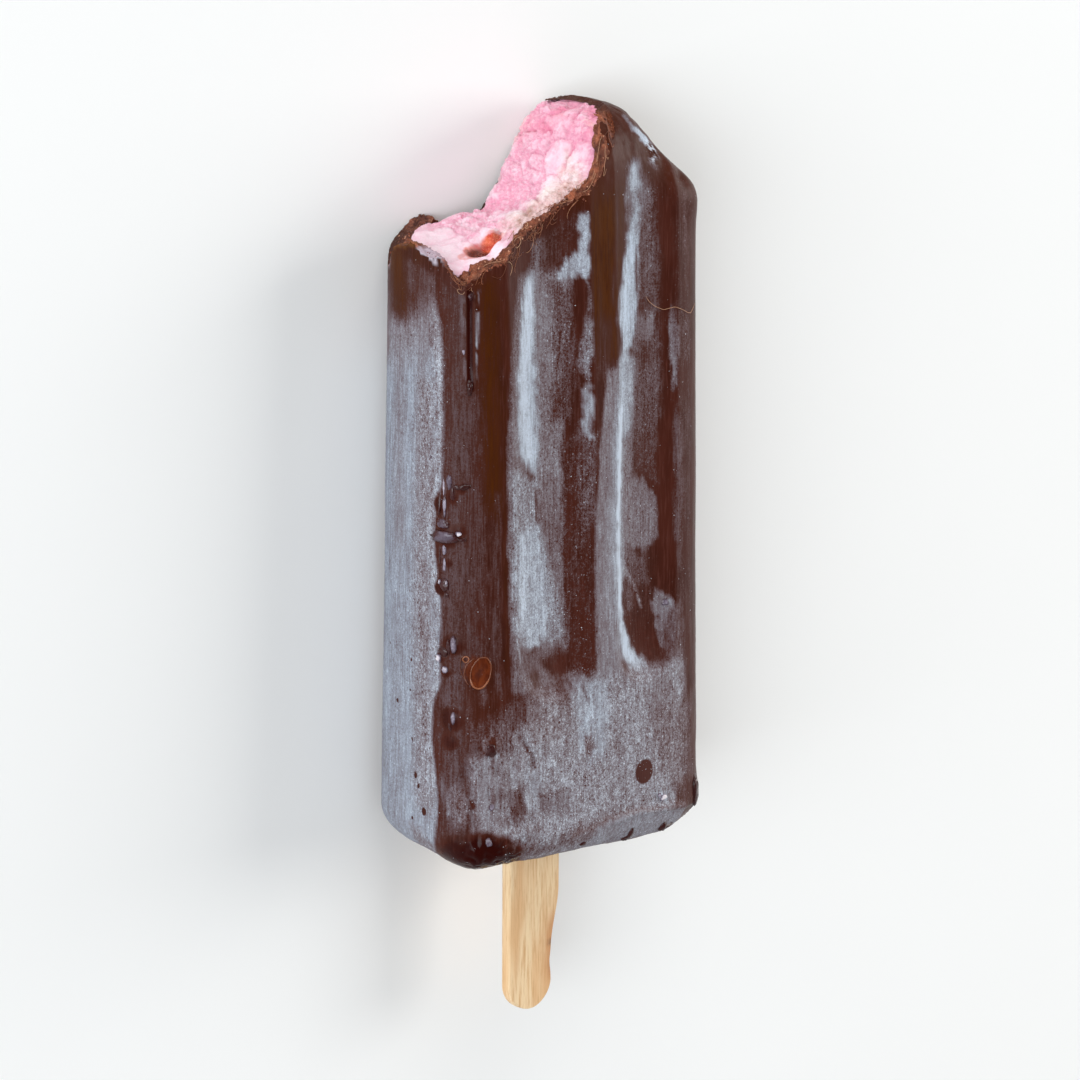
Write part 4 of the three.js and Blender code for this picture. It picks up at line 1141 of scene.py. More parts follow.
    # --- right rib
    B(((44, 14.9), (62, 15.0)), ((44, 16.6), (62, 16.9)), 0.4, 0.6, 0.85, frost=0.24, grain=0.3)
    P(((14.2, 77), (15.0, 78), (16.3, 73.4), (16.0, 66), (14.5, 65.8), (14.6, 70)), 0.3, frost=0.36, grain=0.5, cool=0.55)
    L(((14.6, 76.6), (14.8, 71), (15.5, 66.6)), 0.18, 0.3, 0.8, frost=0.6, grain=0.6)
    P(((16.4, 77.4), (18.6, 76.6), (18.7, 70), (16.6, 70)), 0.5, 0.8, frost=0.2, grain=1.0)
    L(((15.4, 64), (15.8, 52), (16.0, 40)), 0.25, 0.5, 0.6, frost=0.34)
    L(((17.6, 98), (18.2, 70), (18.5, 30)), 0.6, 1.0, 0.7, frost=0.2, grain=0.6)
    L(((16.0, 90), (16.4, 60), (16.6, 34)), 0.5, 0.9, 0.5, frost=0.22, grain=0.8)
    L(((19.4, 84), (19.9, 70), (20.2, 30)), 0.5, 0.7, 0.8, frost=-0.05, olive=0.4)
    L(((14.2, 92), (14.2, 78), (14.3, 62)), 0.25, 0.4, 0.7, frost=-0.08)
    P(((14.8, 98), (21.8, 95), (22.0, 83), (18.4, 82), (16.8, 88)), 0.9, 0.9, frost=0.1, grain=0.6, cool=0.15)
    L(((17.0, 97), (17.0, 92), (17.6, 86)), 0.2, 0.35, 0.8, frost=0.24, grain=0.8, cool=0.3)
    L(((20.6, 93), (20.9, 86)), 0.4, 0.5, 0.8, frost=0.2, grain=0.6, cool=0.2)
    # --- plain lower part of the face
    low = smooth(27.8, 25.2, pt.v + 0.35 * np.abs(pt.u + 1.0) * (pt.u < -3))
    low = low * smooth(-15.6, -14.2, pt.u + 0.12 * (18 - pt.v)) * smooth(18.4, 16.0, pt.u)
    pt.lay(low, frost=0.6, grain=1.0, cool=0.5, olive=0.0)
    P(((-12.6, 27.5), (-6, 26), (-6, 19.6), (-9, 18.4), (-13, 21)), 1.2, 0.8, frost=0.56, grain=1.0, cool=0.36)
    P(((-6.8, 26.6), (-5.4, 22.2), (-5.0, 26.4)), 0.6, 0.8, frost=0.22, grain=0.8)
    P(((-4.6, 26.6), (-2.6, 28), (2.0, 26), (2.4, 20), (1.0, 15), (-1.4, 14.4), (-3.0, 18.5)), 0.9, 0.85, frost=0.68, grain=0.6, cool=0.68)
    L(((-2.6, 27.4), (-2.0, 24.6), (-1.0, 22.6)), 0.16, 0.2, 0.8, frost=0.3)
    L(((-0.9, 25.8), (-1.0, 22.0), (-2.4, 19.6), (-2.9, 16.8)), 0.3, 0.4, 0.9, frost=0.86, grain=0.6, cool=0.72)
    L(((0.4, 25.6), (0.6, 17.0)), 0.5, 0.7, 0.7, frost=0.76, grain=0.4, cool=0.7)
    P(((-2.0, 18.4), (-1.2, 18.6), (-0.4, 16.8), (-1.6, 15.8), (-2.2, 16.8)), 0.25, 0.8, frost=0.3, grain=0.9, cool=0.4)
    P(((9.6, 26), (14, 25), (13.8, 17), (9.8, 19)), 1.4, 0.7, frost=0.46, grain=0.5, cool=0.5)
    P(((10.6, 20.6), (19.0, 20.6), (19.4, 9.0), (13, 8.6), (11.4, 12)), 1.2, 0.8, frost=0.38, grain=1.0, cool=0.42)
    L(((16.2, 27.6), (15.4, 22), (14.6, 17.6)), 0.32, 0.45, 0.9, taper=True, frost=0.56, grain=0.7)
    P(((-23, 31.5), (-16.4, 31), (-15.4, 26.5), (-17.2, 21.6), (-20.5, 19.8), (-23, 19.5)), 2.2, frost=0.04, grain=0.4, cool=0.3, olive=0.15)
    L(((-20.3, 29.0), (-20.1, 19.6)), 0.2, 0.4, 0.5, taper=True, frost=0.2, grain=0.5, cool=0.5)
    L(((-15.6, 24.6), (-15.3, 19.0)), 0.5, 0.8, 0.6, frost=0.3, grain=0.8)
    L(((-18.9, 28.6), (-18.7, 25.0)), 0.35, 0.5, 0.9, taper=True, frost=0.3)
    L(((-16.6, 30), (-16.2, 27.0)), 0.3, 0.5, 0.7, frost=0.26)
    P(((-20.0, 22.4), (-14.0, 25.4), (-13.4, 18.0), (-19.6, 17.0)), 1.5, 0.75, frost=0.34, grain=0.9, cool=0.42)
    P(((-20.9, 18), (-12.4, 18.4), (-11.6, 14), (-12.4, 7.4), (-16, 5), (-20.6, 6)), 1.0, 0.9, frost=0.6, grain=0.9, cool=0.46)
    for u0, v0, v1, k in ((-18.8, 17.8, 8.0, 0.62), (-17.4, 16.8, 10.4, 0.48), (-16.2, 17.6, 12.6, 0.5), (-19.5, 14, 8.6, 0.5),
                          (-14.6, 17.4, 13.0, 0.46)):
        L(((u0, v0), (u0 + 0.2, v1)), 0.2, 0.3, 0.75, taper=True, frost=k, grain=0.5)
    L(((-12.2, 18.6), (-11.8, 17), (-11.0, 15.8)), 0.25, 0.3, 0.8, frost=0.16)
    P(((-15.4, 12.4), (-13.0, 13.0), (-12.8, 8.6), (-15.2, 7.8)), 0.7, 0.9, frost=0.1, grain=0.5)
    P(((-12.3, 15.8), (-10.0, 15.4), (-9.8, 8.8), (-12.2, 9.0)), 0.5, 0.8, frost=0.62, grain=0.7, cool=0.58)
    L(((-12.3, 11.6), (-12.2, 9.2)), 0.2, 0.25, 0.8, frost=0.85)
    L(((-10.2, 10.7), (-7.6, 10.9), (-6.0, 11.4)), 0.18, 0.35, 0.8, frost=0.2)
    P(((-10.2, 10.6), (-4.9, 10.9), (-4.9, 8.2), (-9.8, 8.4)), 0.6, 0.7, frost=0.4, grain=0.6, cool=0.6)
    L(((-3.0, 9.6), (-0.4, 8.0), (1.4, 7.8)), 0.7, 0.8, 0.8, frost=0.62, grain=1.0)
    L(((-5.6, 12.6), (-3.4, 10.6)), 0.3, 0.5, 0.7, frost=0.7, grain=1.0)
    L(((-13.3, 20.0), (-12.8, 19.4), (-11.6, 17.3), (-11.1, 15.6)), 0.14, 0.16, 0.85, frost=0.2, exact=True)
    L(((-12.6, 20.2), (-11.2, 17.6), (-10.7, 15.8)), 0.12, 0.2, 0.6, frost=0.66, exact=True)
    L(((-18.9, 17.0), (-18.9, 13.2)), 0.05, 0.12, 0.9, frost=0.66, grain=0.2, exact=True)
    L(((-18.8, 12.6), (-18.8, 7.0)), 0.13, 0.18, 0.9, frost=0.68, grain=0.4, exact=True)
    L(((-18.25, 11.6), (-18.3, 7.7)), 0.04, 0.1, 0.9, frost=0.62, grain=0.2, exact=True)
    for u0, k in ((-17.7, 0.26), (-17.1, 0.52), (-16.6, 0.24), (-15.9, 0.5), (-15.3, 0.28), (-14.7, 0.56), (-14.0, 0.3)):
        L(((u0, 17.0), (u0 - 0.1, 8.2)), 0.1, 0.2, 0.7, taper=True, frost=k, grain=0.5)
    L(((-18.7, 18.8), (-18.9, 20.4), (-17.9, 21.2), (-16.8, 20.8)), 0.07, 0.14, 0.85, frost=0.46, exact=True)
    P(((-18.4, 18.6), (-18.5, 20.2), (-17.6, 20.6), (-17.4, 18.6)), 0.3, 0.9, frost=-0.1)
    L(((-17.5, 18.0), (-16.9, 18.1)), 0.1, 0.14, 0.95, frost=0.95, grain=0.3, exact=True)
    L(((-20.3, 10.8), (-20.2, 10.1)), 0.25, 0.25, 0.9, frost=-0.15)
    # haze beside the melt run, and highlights painted along its lips
    L(((-21.0, 83.4), (-20.9, 76.4)), 0.45, 0.5, 0.9, frost=0.3, cool=0.72, grain=0.2)
    L(((-20.6, 84.0), (-20.5, 79.0)), 0.16, 0.25, 0.8, frost=0.42, cool=0.8, grain=0.2)
    L(((-20.35, 75.0), (-20.4, 72.4)), 0.08, 0.16, 0.9, frost=0.72, grain=0.3, cool=0.5, exact=True)
    L(((-18.7, 84.4), (-18.78, 79.2), (-18.9, 76.9)), 0.14, 0.14, 1.0, frost=0.8, grain=0.15, cool=0.6, exact=True)
    L(((-18.95, 76.1), (-19.0, 74.9)), 0.14, 0.12, 1.0, frost=0.72, grain=0.15, cool=0.6, exact=True)
    L(((-19.0, 74.2), (-19.05, 72.4)), 0.08, 0.14, 0.9, frost=0.6, grain=0.3, cool=0.5, exact=True)
    L(((-18.65, 84.2), (-18.25, 84.9), (-18.0, 86.0)), 0.07, 0.13, 0.9, frost=0.75, grain=0.2, cool=0.6, exact=True)
    L(((-20.0, 85.0), (-19.4, 85.0)), 0.1, 0.14, 0.9, frost=0.6, grain=0.3, cool=0.4, exact=True)
    # foot edge: pale under the bead, dark runs
    P(((-17, 5.6), (-9, 3.0), (-3.4, 5.6), (2.0, 5.8), (4.4, 4.6), (2, 2.6), (-10, 1.6), (-17, 3)), 0.8, 0.75, frost=0.34, grain=0.8, cool=0.42)
    L([(x, v + SLANT_REACH * 0.0 + 1.1) for x, v, _ in FOOT_LINE], 0.22, 0.35, 0.9, frost=0.42, grain=0.6, cool=0.1)
    P([(x, v + 0.75) for x, v, _ in FOOT_LINE[1:]] + [(17.4, 1.0), (9.0, -1.6), (-2.0, -1.4)], 0.35, 0.95, frost=0.62, grain=0.45, cool=0.56)
    P(((14.6, 8.4), (19.8, 8.6), (20.2, 5.0), (15.2, 5.0)), 0.6, 0.85, frost=0.14, grain=0.9, cool=0.3)
    # a white highlight painted on the foot's right, with a pale patch around it
    P(((10.9, 8.2), (13.6, 8.0), (13.6, 6.4), (10.9, 6.2)), 0.5, 0.9, frost=0.6, grain=0.7, cool=0.66)
    L(((11.9, 7.3), (12.9, 6.8)), 0.3, 0.3, frost=1.1, grain=0.3)


EDGE_AT = (0, 6, 11, 20, 26, 29.5, 33, 38, 43.7, 49.4, 55, 59.6, 65, 72, 79, 83, 90)
EDGE_Z = (4.6, 6.2, 6.4, 5.2, 5.4, 6.9, 6.2, 7.0, 6.0, 5.3, 5.6, 7.0, 7.3, 6.8, 6.2, 5.4, 4.6)


def paint_side(pt):
    """The left side, from the back edge to the bare front corner."""
    P, L, B = pt.patch, pt.line, pt.band
    pt.lay(1.0, frost=0.66, grain=0.4, cool=0.78, olive=0.0)
    L(((-2.6, 76), (-2.8, 60), (-2.2, 48)), 1.0, 1.4, 0.75, frost=0.5, cool=0.6)
    L(((-5.6, 76), (-5.6, 40), (-5.2, 8)), 0.8, 1.2, 0.5, frost=0.76, cool=0.86)
    L(((0.4, 78), (0.2, 50), (-0.4, 20), (-0.2, 6)), 0.7, 1.0, 0.5, frost=0.78, cool=0.84)
    L(((2.2, 74), (2.0, 52)), 0.5, 0.9, 0.6, frost=0.54, cool=0.55)
    L(((3.6, 70), (3.0, 40), (3.6, 10)), 2.0, 1.5, 0.95, frost=0.54, grain=1.0, cool=0.52)
    L(((5.4, 82), (5.9, 74), (6.4, 66), (6.1, 60)), 0.7, 0.6, 0.9, frost=0.62, grain=1.0, cool=0.52)
    L(((5.0, 60), (4.6, 52)), 0.5, 0.7, 0.8, frost=0.45, grain=1.0, cool=0.5)
    # the frost stops below the bite
    top = smooth(76.0, 81.5, pt.v - 0.32 * (pt.u + 6) * (pt.u > -6) + 0.9 * fbm(np.column_stack([pt.u, pt.v * 0.5, pt.u * 0]) / 1.4, 3, 120))
    pt.lay(0.8 * smooth(70, 78, pt.v - 0.3 * pt.u), frost=0.5, grain=0.6, cool=0.5)
    pt.lay(top, frost=0.2, grain=0.4, cool=0.55)
    L(((0.2, 84.5), (3.4, 80.2), (4.4, 77.5)), 0.5, 1.0, 0.7, frost=0.34)
    L(((-4.6, 90), (-3.2, 87), (-2.4, 81)), 2.2, 1.2, 0.95, frost=0.02, olive=1.0)
    L(((1.4, 89), (1.2, 86), (0.8, 82)), 0.6, 0.9, 0.8, frost=0.08, olive=0.7)
    L(((-7.2, 88), (-7.0, 80), (-6.4, 74)), 0.7, 1.0, 0.8, frost=0.42, cool=0.3)
    # its ragged front boundary
    edge = np.interp(pt.v, EDGE_AT, EDGE_Z)
    d = pt.u - edge
    pt.lay(smooth(-0.35, 0.3, d), frost=0.1, grain=0.5, cool=0.6)
    pt.lay(0.6 * gauss((d + 0.75) / 0.45) * smooth(9, 14, pt.v) * smooth(84, 78, pt.v), frost=0.74, grain=1.0, cool=0.5)
    pt.lay(smooth(0.6, 1.6, d) * smooth(9.6, 8.0, pt.u), frost=0.16, grain=0.3, cool=0.75)
    L(((6.6, 36), (7.0, 33.8)), 0.5, 0.5, 0.8, frost=0.42, cool=1.0, grain=0.3)
    P(((0.4, 4.6), (3.0, 4.4), (5.2, 2.2), (4.6, 0.2), (0.6, 0.4)), 0.7, 0.6, frost=0.42, grain=1.0, cool=0.4)


def frost_fields(p, n):
    x, y, z = p.T
    face = Painter(p, x, smooth(5.4, 6.8, z + 0.25 * (x > 0)), 0.3, 0)
    face.start(frost=0.1, grain=0.4, cool=0.5, olive=0.0)
    vals = face.values
    # right side and back first
    back = smooth(-6.5, -8.5, z)
    right = smooth(18.5, 21.0, x)
    q = p / np.array([5.0, 16.0, 5.0])
    cloud = fbm(q, 3, 131)
    flute = smooth(0.05, 0.9, flute_depth(x, y))
    # a pale band along one wall of each flute, as on the face's lit walls: frost with the walls' sheen painted in
    wall = 0
    for cx, half, deep in FLUTES:
        t = (x - cx) / half
        wall = wall + gauss((t - 0.62) / 0.2) * smooth(FLUTE_START + 2, FLUTE_START + 8, y)
    under = Painter(p, -x, np.ones(len(p)), 0.4, 7)
    under.values = vals
    under.lay(back, frost=0.2 + 0.1 * cloud, grain=0.6, cool=0.5)
    under.lay(back * flute, frost=0.36 + 0.1 * cloud, grain=0.6, cool=0.5)
    under.lay(back * np.clip(wall, 0, 1) * 0.85, frost=0.72, grain=0.5, cool=0.66)
    under.lay(back * smooth(27, 22, y + 1.5 * cloud), frost=0.5 + 0.1 * cloud, grain=0.8, cool=0.52)
    under.lay(back * smooth(-16.5, -18.5, x + 0.8 * cloud), frost=0.1, grain=0.3)
    under.lay(back * smooth(15.8, 17.6, x + 0.8 * cloud), frost=0.1, grain=0.3)
    flank = smooth(20.0, 22.0, x) * smooth(5.2, 3.6, z) * smooth(-8.0, -6.4, z)
    under.lay(flank, frost=0.5 + 0.16 * cloud, grain=0.6, cool=0.66)
    under.lay(flank * gauss((z + 1.5 + cloud) / 1.6), frost=0.7, grain=0.4, cool=0.76)
    under.lay(flank * smooth(84, 90, y + 2 * cloud), frost=0.04, grain=0.4)
    under.lay(flank * smooth(8, 4, y), frost=0.3, grain=0.8)
    side = Painter(p, z, smooth(7.6, 6.4, z) * smooth(-18, -20.5, x) * smooth(-10.6, -8.4, z), 0.3, 3)
    side.values = vals
    paint_side(side)
    corner = Painter(p, z, smooth(-19.6, -20.8, x) * smooth(5.4, 6.4, z), 0.3, 3)
    face.mask = smooth(6.0, 7.4, z) * np.maximum(smooth(-21.6, -20.4, x), 0)
    paint_front(face)
    corner.values = vals
    corner.mask = smooth(6.0, 7.0, z) * smooth(-20.2, -21.4, x)
    corner.lay(1.0, frost=0.14, grain=0.35, cool=0.72)
    corner.line(((8.6, 84), (8.2, 60), (8.4, 44)), 0.25, 0.5, 0.6, frost=0.26, cool=0.7)
    corner.patch(((7.8, 12.7), (9.2, 13.8), (10.2, 12.3), (10.9, 9.9), (11.0, 7.9), (9.2, 7.3), (8.0, 9.2)), 0.5, 0.9, frost=0.42, grain=1.0, cool=0.4)
    corner.line(((9.5, 11.2), (9.4, 10.2)), 0.3, 0.3, 0.8, frost=0.0)
    corner.line(((8.3, 30), (8.5, 8)), 0.8, 0.8, 0.6, frost=0.26, cool=0.75, grain=0.5)
    corner.line(((7.9, 12.0), (7.9, 8.6)), 0.16, 0.2, 0.7, frost=0.6, grain=0.8)
    corner.line(((7.0, 14.6), (7.1, 11.0)), 0.25, 0.35, 0.8, frost=0.46)
    frost, grain, cool, olive = (vals[k] for k in ("frost", "grain", "cool", "olive"))
    # the foot's underside
    bottom = smooth(1.4, 0.2, side.flat_v)
    frost = frost * (1 - bottom) + bottom * (0.34 + 0.14 * cloud)
    # the tip is bare, keeping some frost at the second flute's end
    tip = smooth(94.5, 98.5, y + 0.25 * np.abs(x - 9) * (np.abs(x - 9) > 2.6))
    keep = gauss((x - 8.6) / 1.9) * smooth(100.4, 98.0, y) * smooth(0, 4, z)
    frost = frost * (1 - tip * (1 - keep)) + tip * (1 - keep) * (0.03 + 0.1 * cloud)
    olive = olive * (1 - 0.8 * tip) + 0.25 * tip
    # a pale lilac highlight painted along the tip's right shoulder, laid in as frost
    d, along = polyline_distance(p, ((9.0, 104.9, 6.5), (9.2, 104.3, 7.0), (9.6, 103.3, 7.6), (11.0, 102.4, 7.3), (12.1, 101.5, 7.3)))
    painted_shoulder_highlight = smooth(0.8, 0.2, d * (1 + 0.4 * noise(p / 0.8, 35)) - 0.1 - 0.3 * smooth(0.3, 0.8, along))
    frost = frost * (1 - painted_shoulder_highlight) + (0.4 + 0.46 * smooth(0.1, 0.6, along)) * painted_shoulder_highlight
    cool = cool * (1 - painted_shoulder_highlight) + 0.72 * painted_shoulder_highlight
    # the crinkle on the slope: its highlight is painted in as extra frost
    bright = gauss(np.linalg.norm((p - (12.7, 99.9, 7.9)) / (1.0, 1.5, 1.6), axis=1)) * smooth(-0.15, 0.3, noise(p / np.array([0.3, 0.6, 0.3]), 31))
    frost = frost + 2.0 * bright
    frost = frost * (1 - 0.9 * gauss(np.linalg.norm((p - (17.6, 95.6, 8.3)) / (1.0, 1.1, 1.6), axis=1)))
    # a faint highlight painted along the crown's edge
    edge_line = gauss(np.linalg.norm((p - (10.6, 106.0, 3.0)) / (2.6, 1.2, 3.0), axis=1))
    frost = frost + 0.1 * edge_line
    # by the bite the shell was warmed and wiped bare
    rim = bite_height(x, z) - y
    bare = smooth(2.6, 0.9, rim + 0.8 * fbm(p / 2.0, 2, 79)) * smooth(8, 5, x)
    frost = frost * (1 - 0.9 * bare)
    # wet places
    wet = 1.25 * gauss(np.linalg.norm((p - (-18.6, 2.6, 9.8)) / (6.4, 4.6, 4.8), axis=1) ** 2) * (1 - 0.35 * smooth(0.0, 0.5, noise(p / np.array([0.9, 2.2, 0.9]), 37)))
    wet = np.maximum(wet, gauss(np.linalg.norm((p - (22.6, 3.8, 6.0)) / (2.0, 5.2, 5.0), axis=1) ** 2))
    for bx, by, bz, r, _ in BUMPS:
        wet = np.maximum(wet, (0.55 if bx < -18 else 0.12) * gauss((np.linalg.norm(p - (bx, by, bz), axis=1) / (r * 1.1)) ** 2))
    d, along = polyline_distance(p, STREAK)
    run = smooth(0.56, 0.46, d)
    wet = np.maximum(wet, run * (0.75 + 0.25 * smooth(0.86, 0.95, along)))
    return np.clip(frost, -0.15, 1.1), np.clip(wet, 0, 1), np.clip(grain, 0, 1), np.clip(cool, 0, 1), np.clip(olive, 0, 1)


# ------------------------------------------------------------------ build: coating
NT, NR = ((322, 236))
coat_obj = outer_bar("chocolate_shell", NT, NR, (MAT_CHOC, MAT_BROKEN))
cavity = inner_bar("cavity", COAT, 90, 60, (MAT_CHOC, MAT_BROKEN), 0)
cut(coat_obj, cavity)
drop(cavity)
coat_sheet = bite_sheet(*(((300, 230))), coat_roughness)
coat_cutter = bite_solid("coat_cutter", coat_sheet, (MAT_CHOC, MAT_BROKEN))
cut(coat_obj, coat_cutter)
drop(coat_cutter)
me = coat_obj.data
p = coords(me)
on_cut, on_skin = cut_vertices(me)
fields = frost_fields(p, normals(me))
skin_frost = fields[0]
for key, field in zip(("frost", "wet", "grain", "cool", "olive"), fields):
    set_attr(me, key, field)
x, y, z = p.T
d, _ = polyline_distance(p, CRACK)
# painted shade: darker where the break's surface lies low, and along the crack
deep = np.clip(0.5 - 1.5 * coat_roughness(p) + 0.3 * fbm(p / 0.8, 2, 46), 0, 1)
set_attr(me, "deep", np.maximum(deep, gauss(d / 0.35)) * on_cut)
set_attr(me, "far", np.maximum(smooth(-3.0, -7.5, z) * (1 - gauss(np.hypot((x + 15.0) / 3.4, (y - 92.0) / 2.4))), 0.85 * smooth(105.4, 106.2, y)))
# the ledge and a spot on the side's rim: a melted film, painted pale lilac partly as its wet reflection
ledge = smooth(1.2, 0.5, np.abs(x + 21.4) - 0.9 + 0.5 * noise(p / 0.9, 47)) * smooth(0.8, 1.8, z) * smooth(6.6, 5.4, z) * on_cut * smooth(86.4, 87.6, y)
lilac = gauss(np.linalg.norm((p - (-22.5, 88.3, 5.0)) / (0.7, 0.45, 0.45), axis=1) ** 2)
smear = gauss(np.linalg.norm((p - (-21.9, 86.9, -6.1)) / (1.1, 1.2, 0.8), axis=1) ** 2)
set_attr(me, "melt", np.clip(np.maximum(np.maximum(0.85 * ledge, 0.75 * lilac), 0.8 * smear), 0, 1))
set_attr(me, "pinkish", smear)
# a gold highlight painted along the rim's edge on the left side
set_attr(me, "rim_gold_highlight", smooth(-5.4, -4.4, z) * smooth(1.2, 0.2, z) * smooth(-20.4, -21.4, x) * smooth(0.5, 0.12, bite_height(x, z) - y + 0.4 * noise(p / 0.7, 48)) * (0.65 + 0.4 * noise(p / 0.5, 50)))
# a tan highlight painted on the break at the knob
knob_highlight = gauss(np.linalg.norm((p - (-14.6, 91.2, -8.6)) / (3.0, 2.2, 2.6), axis=1) ** 2)
set_attr(me, "knob_highlight", knob_highlight * on_cut)
q = p - (-18.9, 30.8, 10.6)
tilt = 0.25
u, v = q[:, 0] * 0.9 + q[:, 2] * 0.44, q[:, 1]
u, v = u * math.cos(tilt) - v * math.sin(tilt), u * math.sin(tilt) + v * math.cos(tilt)
film = np.hypot(u / 1.45, v / 2.3)
second = np.hypot((u + 1.6) / 0.95, (v - 0.5) / 1.7)
amber = smooth(1.08, 0.9, film) * (0.95 - 0.75 * gauss(np.hypot((u + 0.1) / 0.55, v / 0.9))) + 0.5 * smooth(1.1, 0.8, second) * (film > 1)
set_attr(me, "amber", np.clip(amber * (z > 6), 0, 1))
set_coords(me, to_row(p))
smooth_shade(me, 48)
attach(coat_obj, "root")
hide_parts("chocolate_coating")

# ------------------------------------------------------------------ build: ice cream
cream_obj = inner_bar("strawberry_filling", COAT - 0.04, 90, 60, (MAT_CREAM, MAT_CREAM), 0)
cream_sheet = bite_sheet(*(((300, 170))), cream_roughness, False, z0=-12.5, z1=12.5)
cream_cutter = bite_solid("cream_cutter", cream_sheet, (MAT_CREAM, MAT_CREAM))
cut(cream_obj, cream_cutter)
drop(cream_cutter)
me = cream_obj.data
p = coords(me)
h, crease, crumbly = cream_parts(p)
x, y, z = p.T
rel = z / 9.0
blot = fbm(p / 2.4, 3, 90)
up = smooth(96.5, 101.5, y)
tone = 0.14 + 0.24 * up + 0.12 * smooth(100.5, 103.5, y)
tone += 0.4 * gauss(np.hypot((x - 0.6) / 1.6, (z + 0.6) / 2.6)) * smooth(101, 103, y) + 0.3 * gauss(np.hypot((x - 4.4) / 1.7, (z - 3.4) / 3.0))
tone += 0.2 * gauss(np.hypot((x + 15.5) / 3.6, (z + 6.5) / 2.6)) + 0.26 * gauss(np.hypot((x + 12.0) / 4.4, (z + 1.5) / 2.0))
tone += 0.24 * gauss(np.hypot((x + 19.3) / 1.6, (z - 7.4) / 2.2)) + 0.2 * gauss(np.hypot((x + 6.0) / 2.4, (z + 3.4) / 2.0))
tone += 0.24 * gauss(np.hypot((x + 0.9) / 1.9, (z - 3.2) / 2.2)) * smooth(97, 98.6, y) - 0.2 * gauss(np.hypot((x + 3.6) / 2.6, (z - 1.5) / 3.0))
tone = tone + 0.5 * blot * smooth(0.08, 0.35, tone)
peach = 0.7 * smooth(0.9, 0.2, np.abs(x - 3.4 - 0.5 * (104 - y)) + 0.4 * blot) * smooth(4.0, 6.5, z)
peach = np.maximum(peach, 0.6 * gauss(np.hypot((x + 0.4) / 1.3, (z + 5.0) / 2.2)) * smooth(99, 101, y))
cream = 0.9 * smooth(0.3, 0.8, rel + 0.3 * fbm(p / 1.8, 2, 91)) * smooth(-13.5, -9.5, x) * smooth(1.4, -0.9, x)
cream = np.maximum(cream, 0.7 * smooth(-0.45, -0.8, rel + 0.1 * fbm(p / 1.8, 2, 92)) * smooth(-6, -3.5, x) * smooth(2.6, 1.0, x))
pit = np.hypot((x - JAM[0]) / 1.8, (z - JAM[1]) / 1.5) * (1 + 0.25 * fbm(p / 0.9, 2, 94))
hollow = np.hypot((x - JAM_HOLE[0]) / 1.85, (z - JAM_HOLE[1]) / 1.5) * (1 + 0.25 * fbm(p / 0.8, 2, 95))
jam = smooth(1.2, 0.75, pit)
# painted shade: dark in the pit's hollow and in a small spot beside the fruit
dark = np.maximum(smooth(1.25, 0.85, hollow), 0.5 * smooth(1.1, 0.6, np.hypot((x - JAM[0] - 1.5) / 0.6, (z - JAM[1] + 0.2) / 0.9)))
tail = np.hypot((x + 16.9) / 0.8, (z - 3.9) / 0.5)
jam = np.maximum(jam, np.maximum(0.7 * smooth(1.5, 1.2, hollow), 0.5 * smooth(1.3, 0.9, tail)))
speck = np.clip(fbm(p / 0.9, 3, 93) * 2.2 - 0.2, 0, 1) * crease
set_attr(me, "peach", np.clip(peach, 0, 1))
set_attr(me, "tone", np.clip(tone, 0, 1))
set_attr(me, "crease", crease)
set_attr(me, "jam", np.clip(jam, 0, 1))
set_attr(me, "cream", np.clip(cream, 0, 1))
set_attr(me, "dark", np.clip(dark, 0, 1))
set_attr(me, "speck", np.clip(speck * cream * 0.9, 0, 1))
set_coords(me, to_row(p))
smooth_shade(me, 60)
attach(cream_obj, "root")
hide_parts("ice_cream_core")

# ------------------------------------------------------------------ build: stick
STICK_W, STICK_T, STICK_X = 9.3, 2.2, -1.72
STICK_LOW, STICK_LEN = -27.3, 93.0


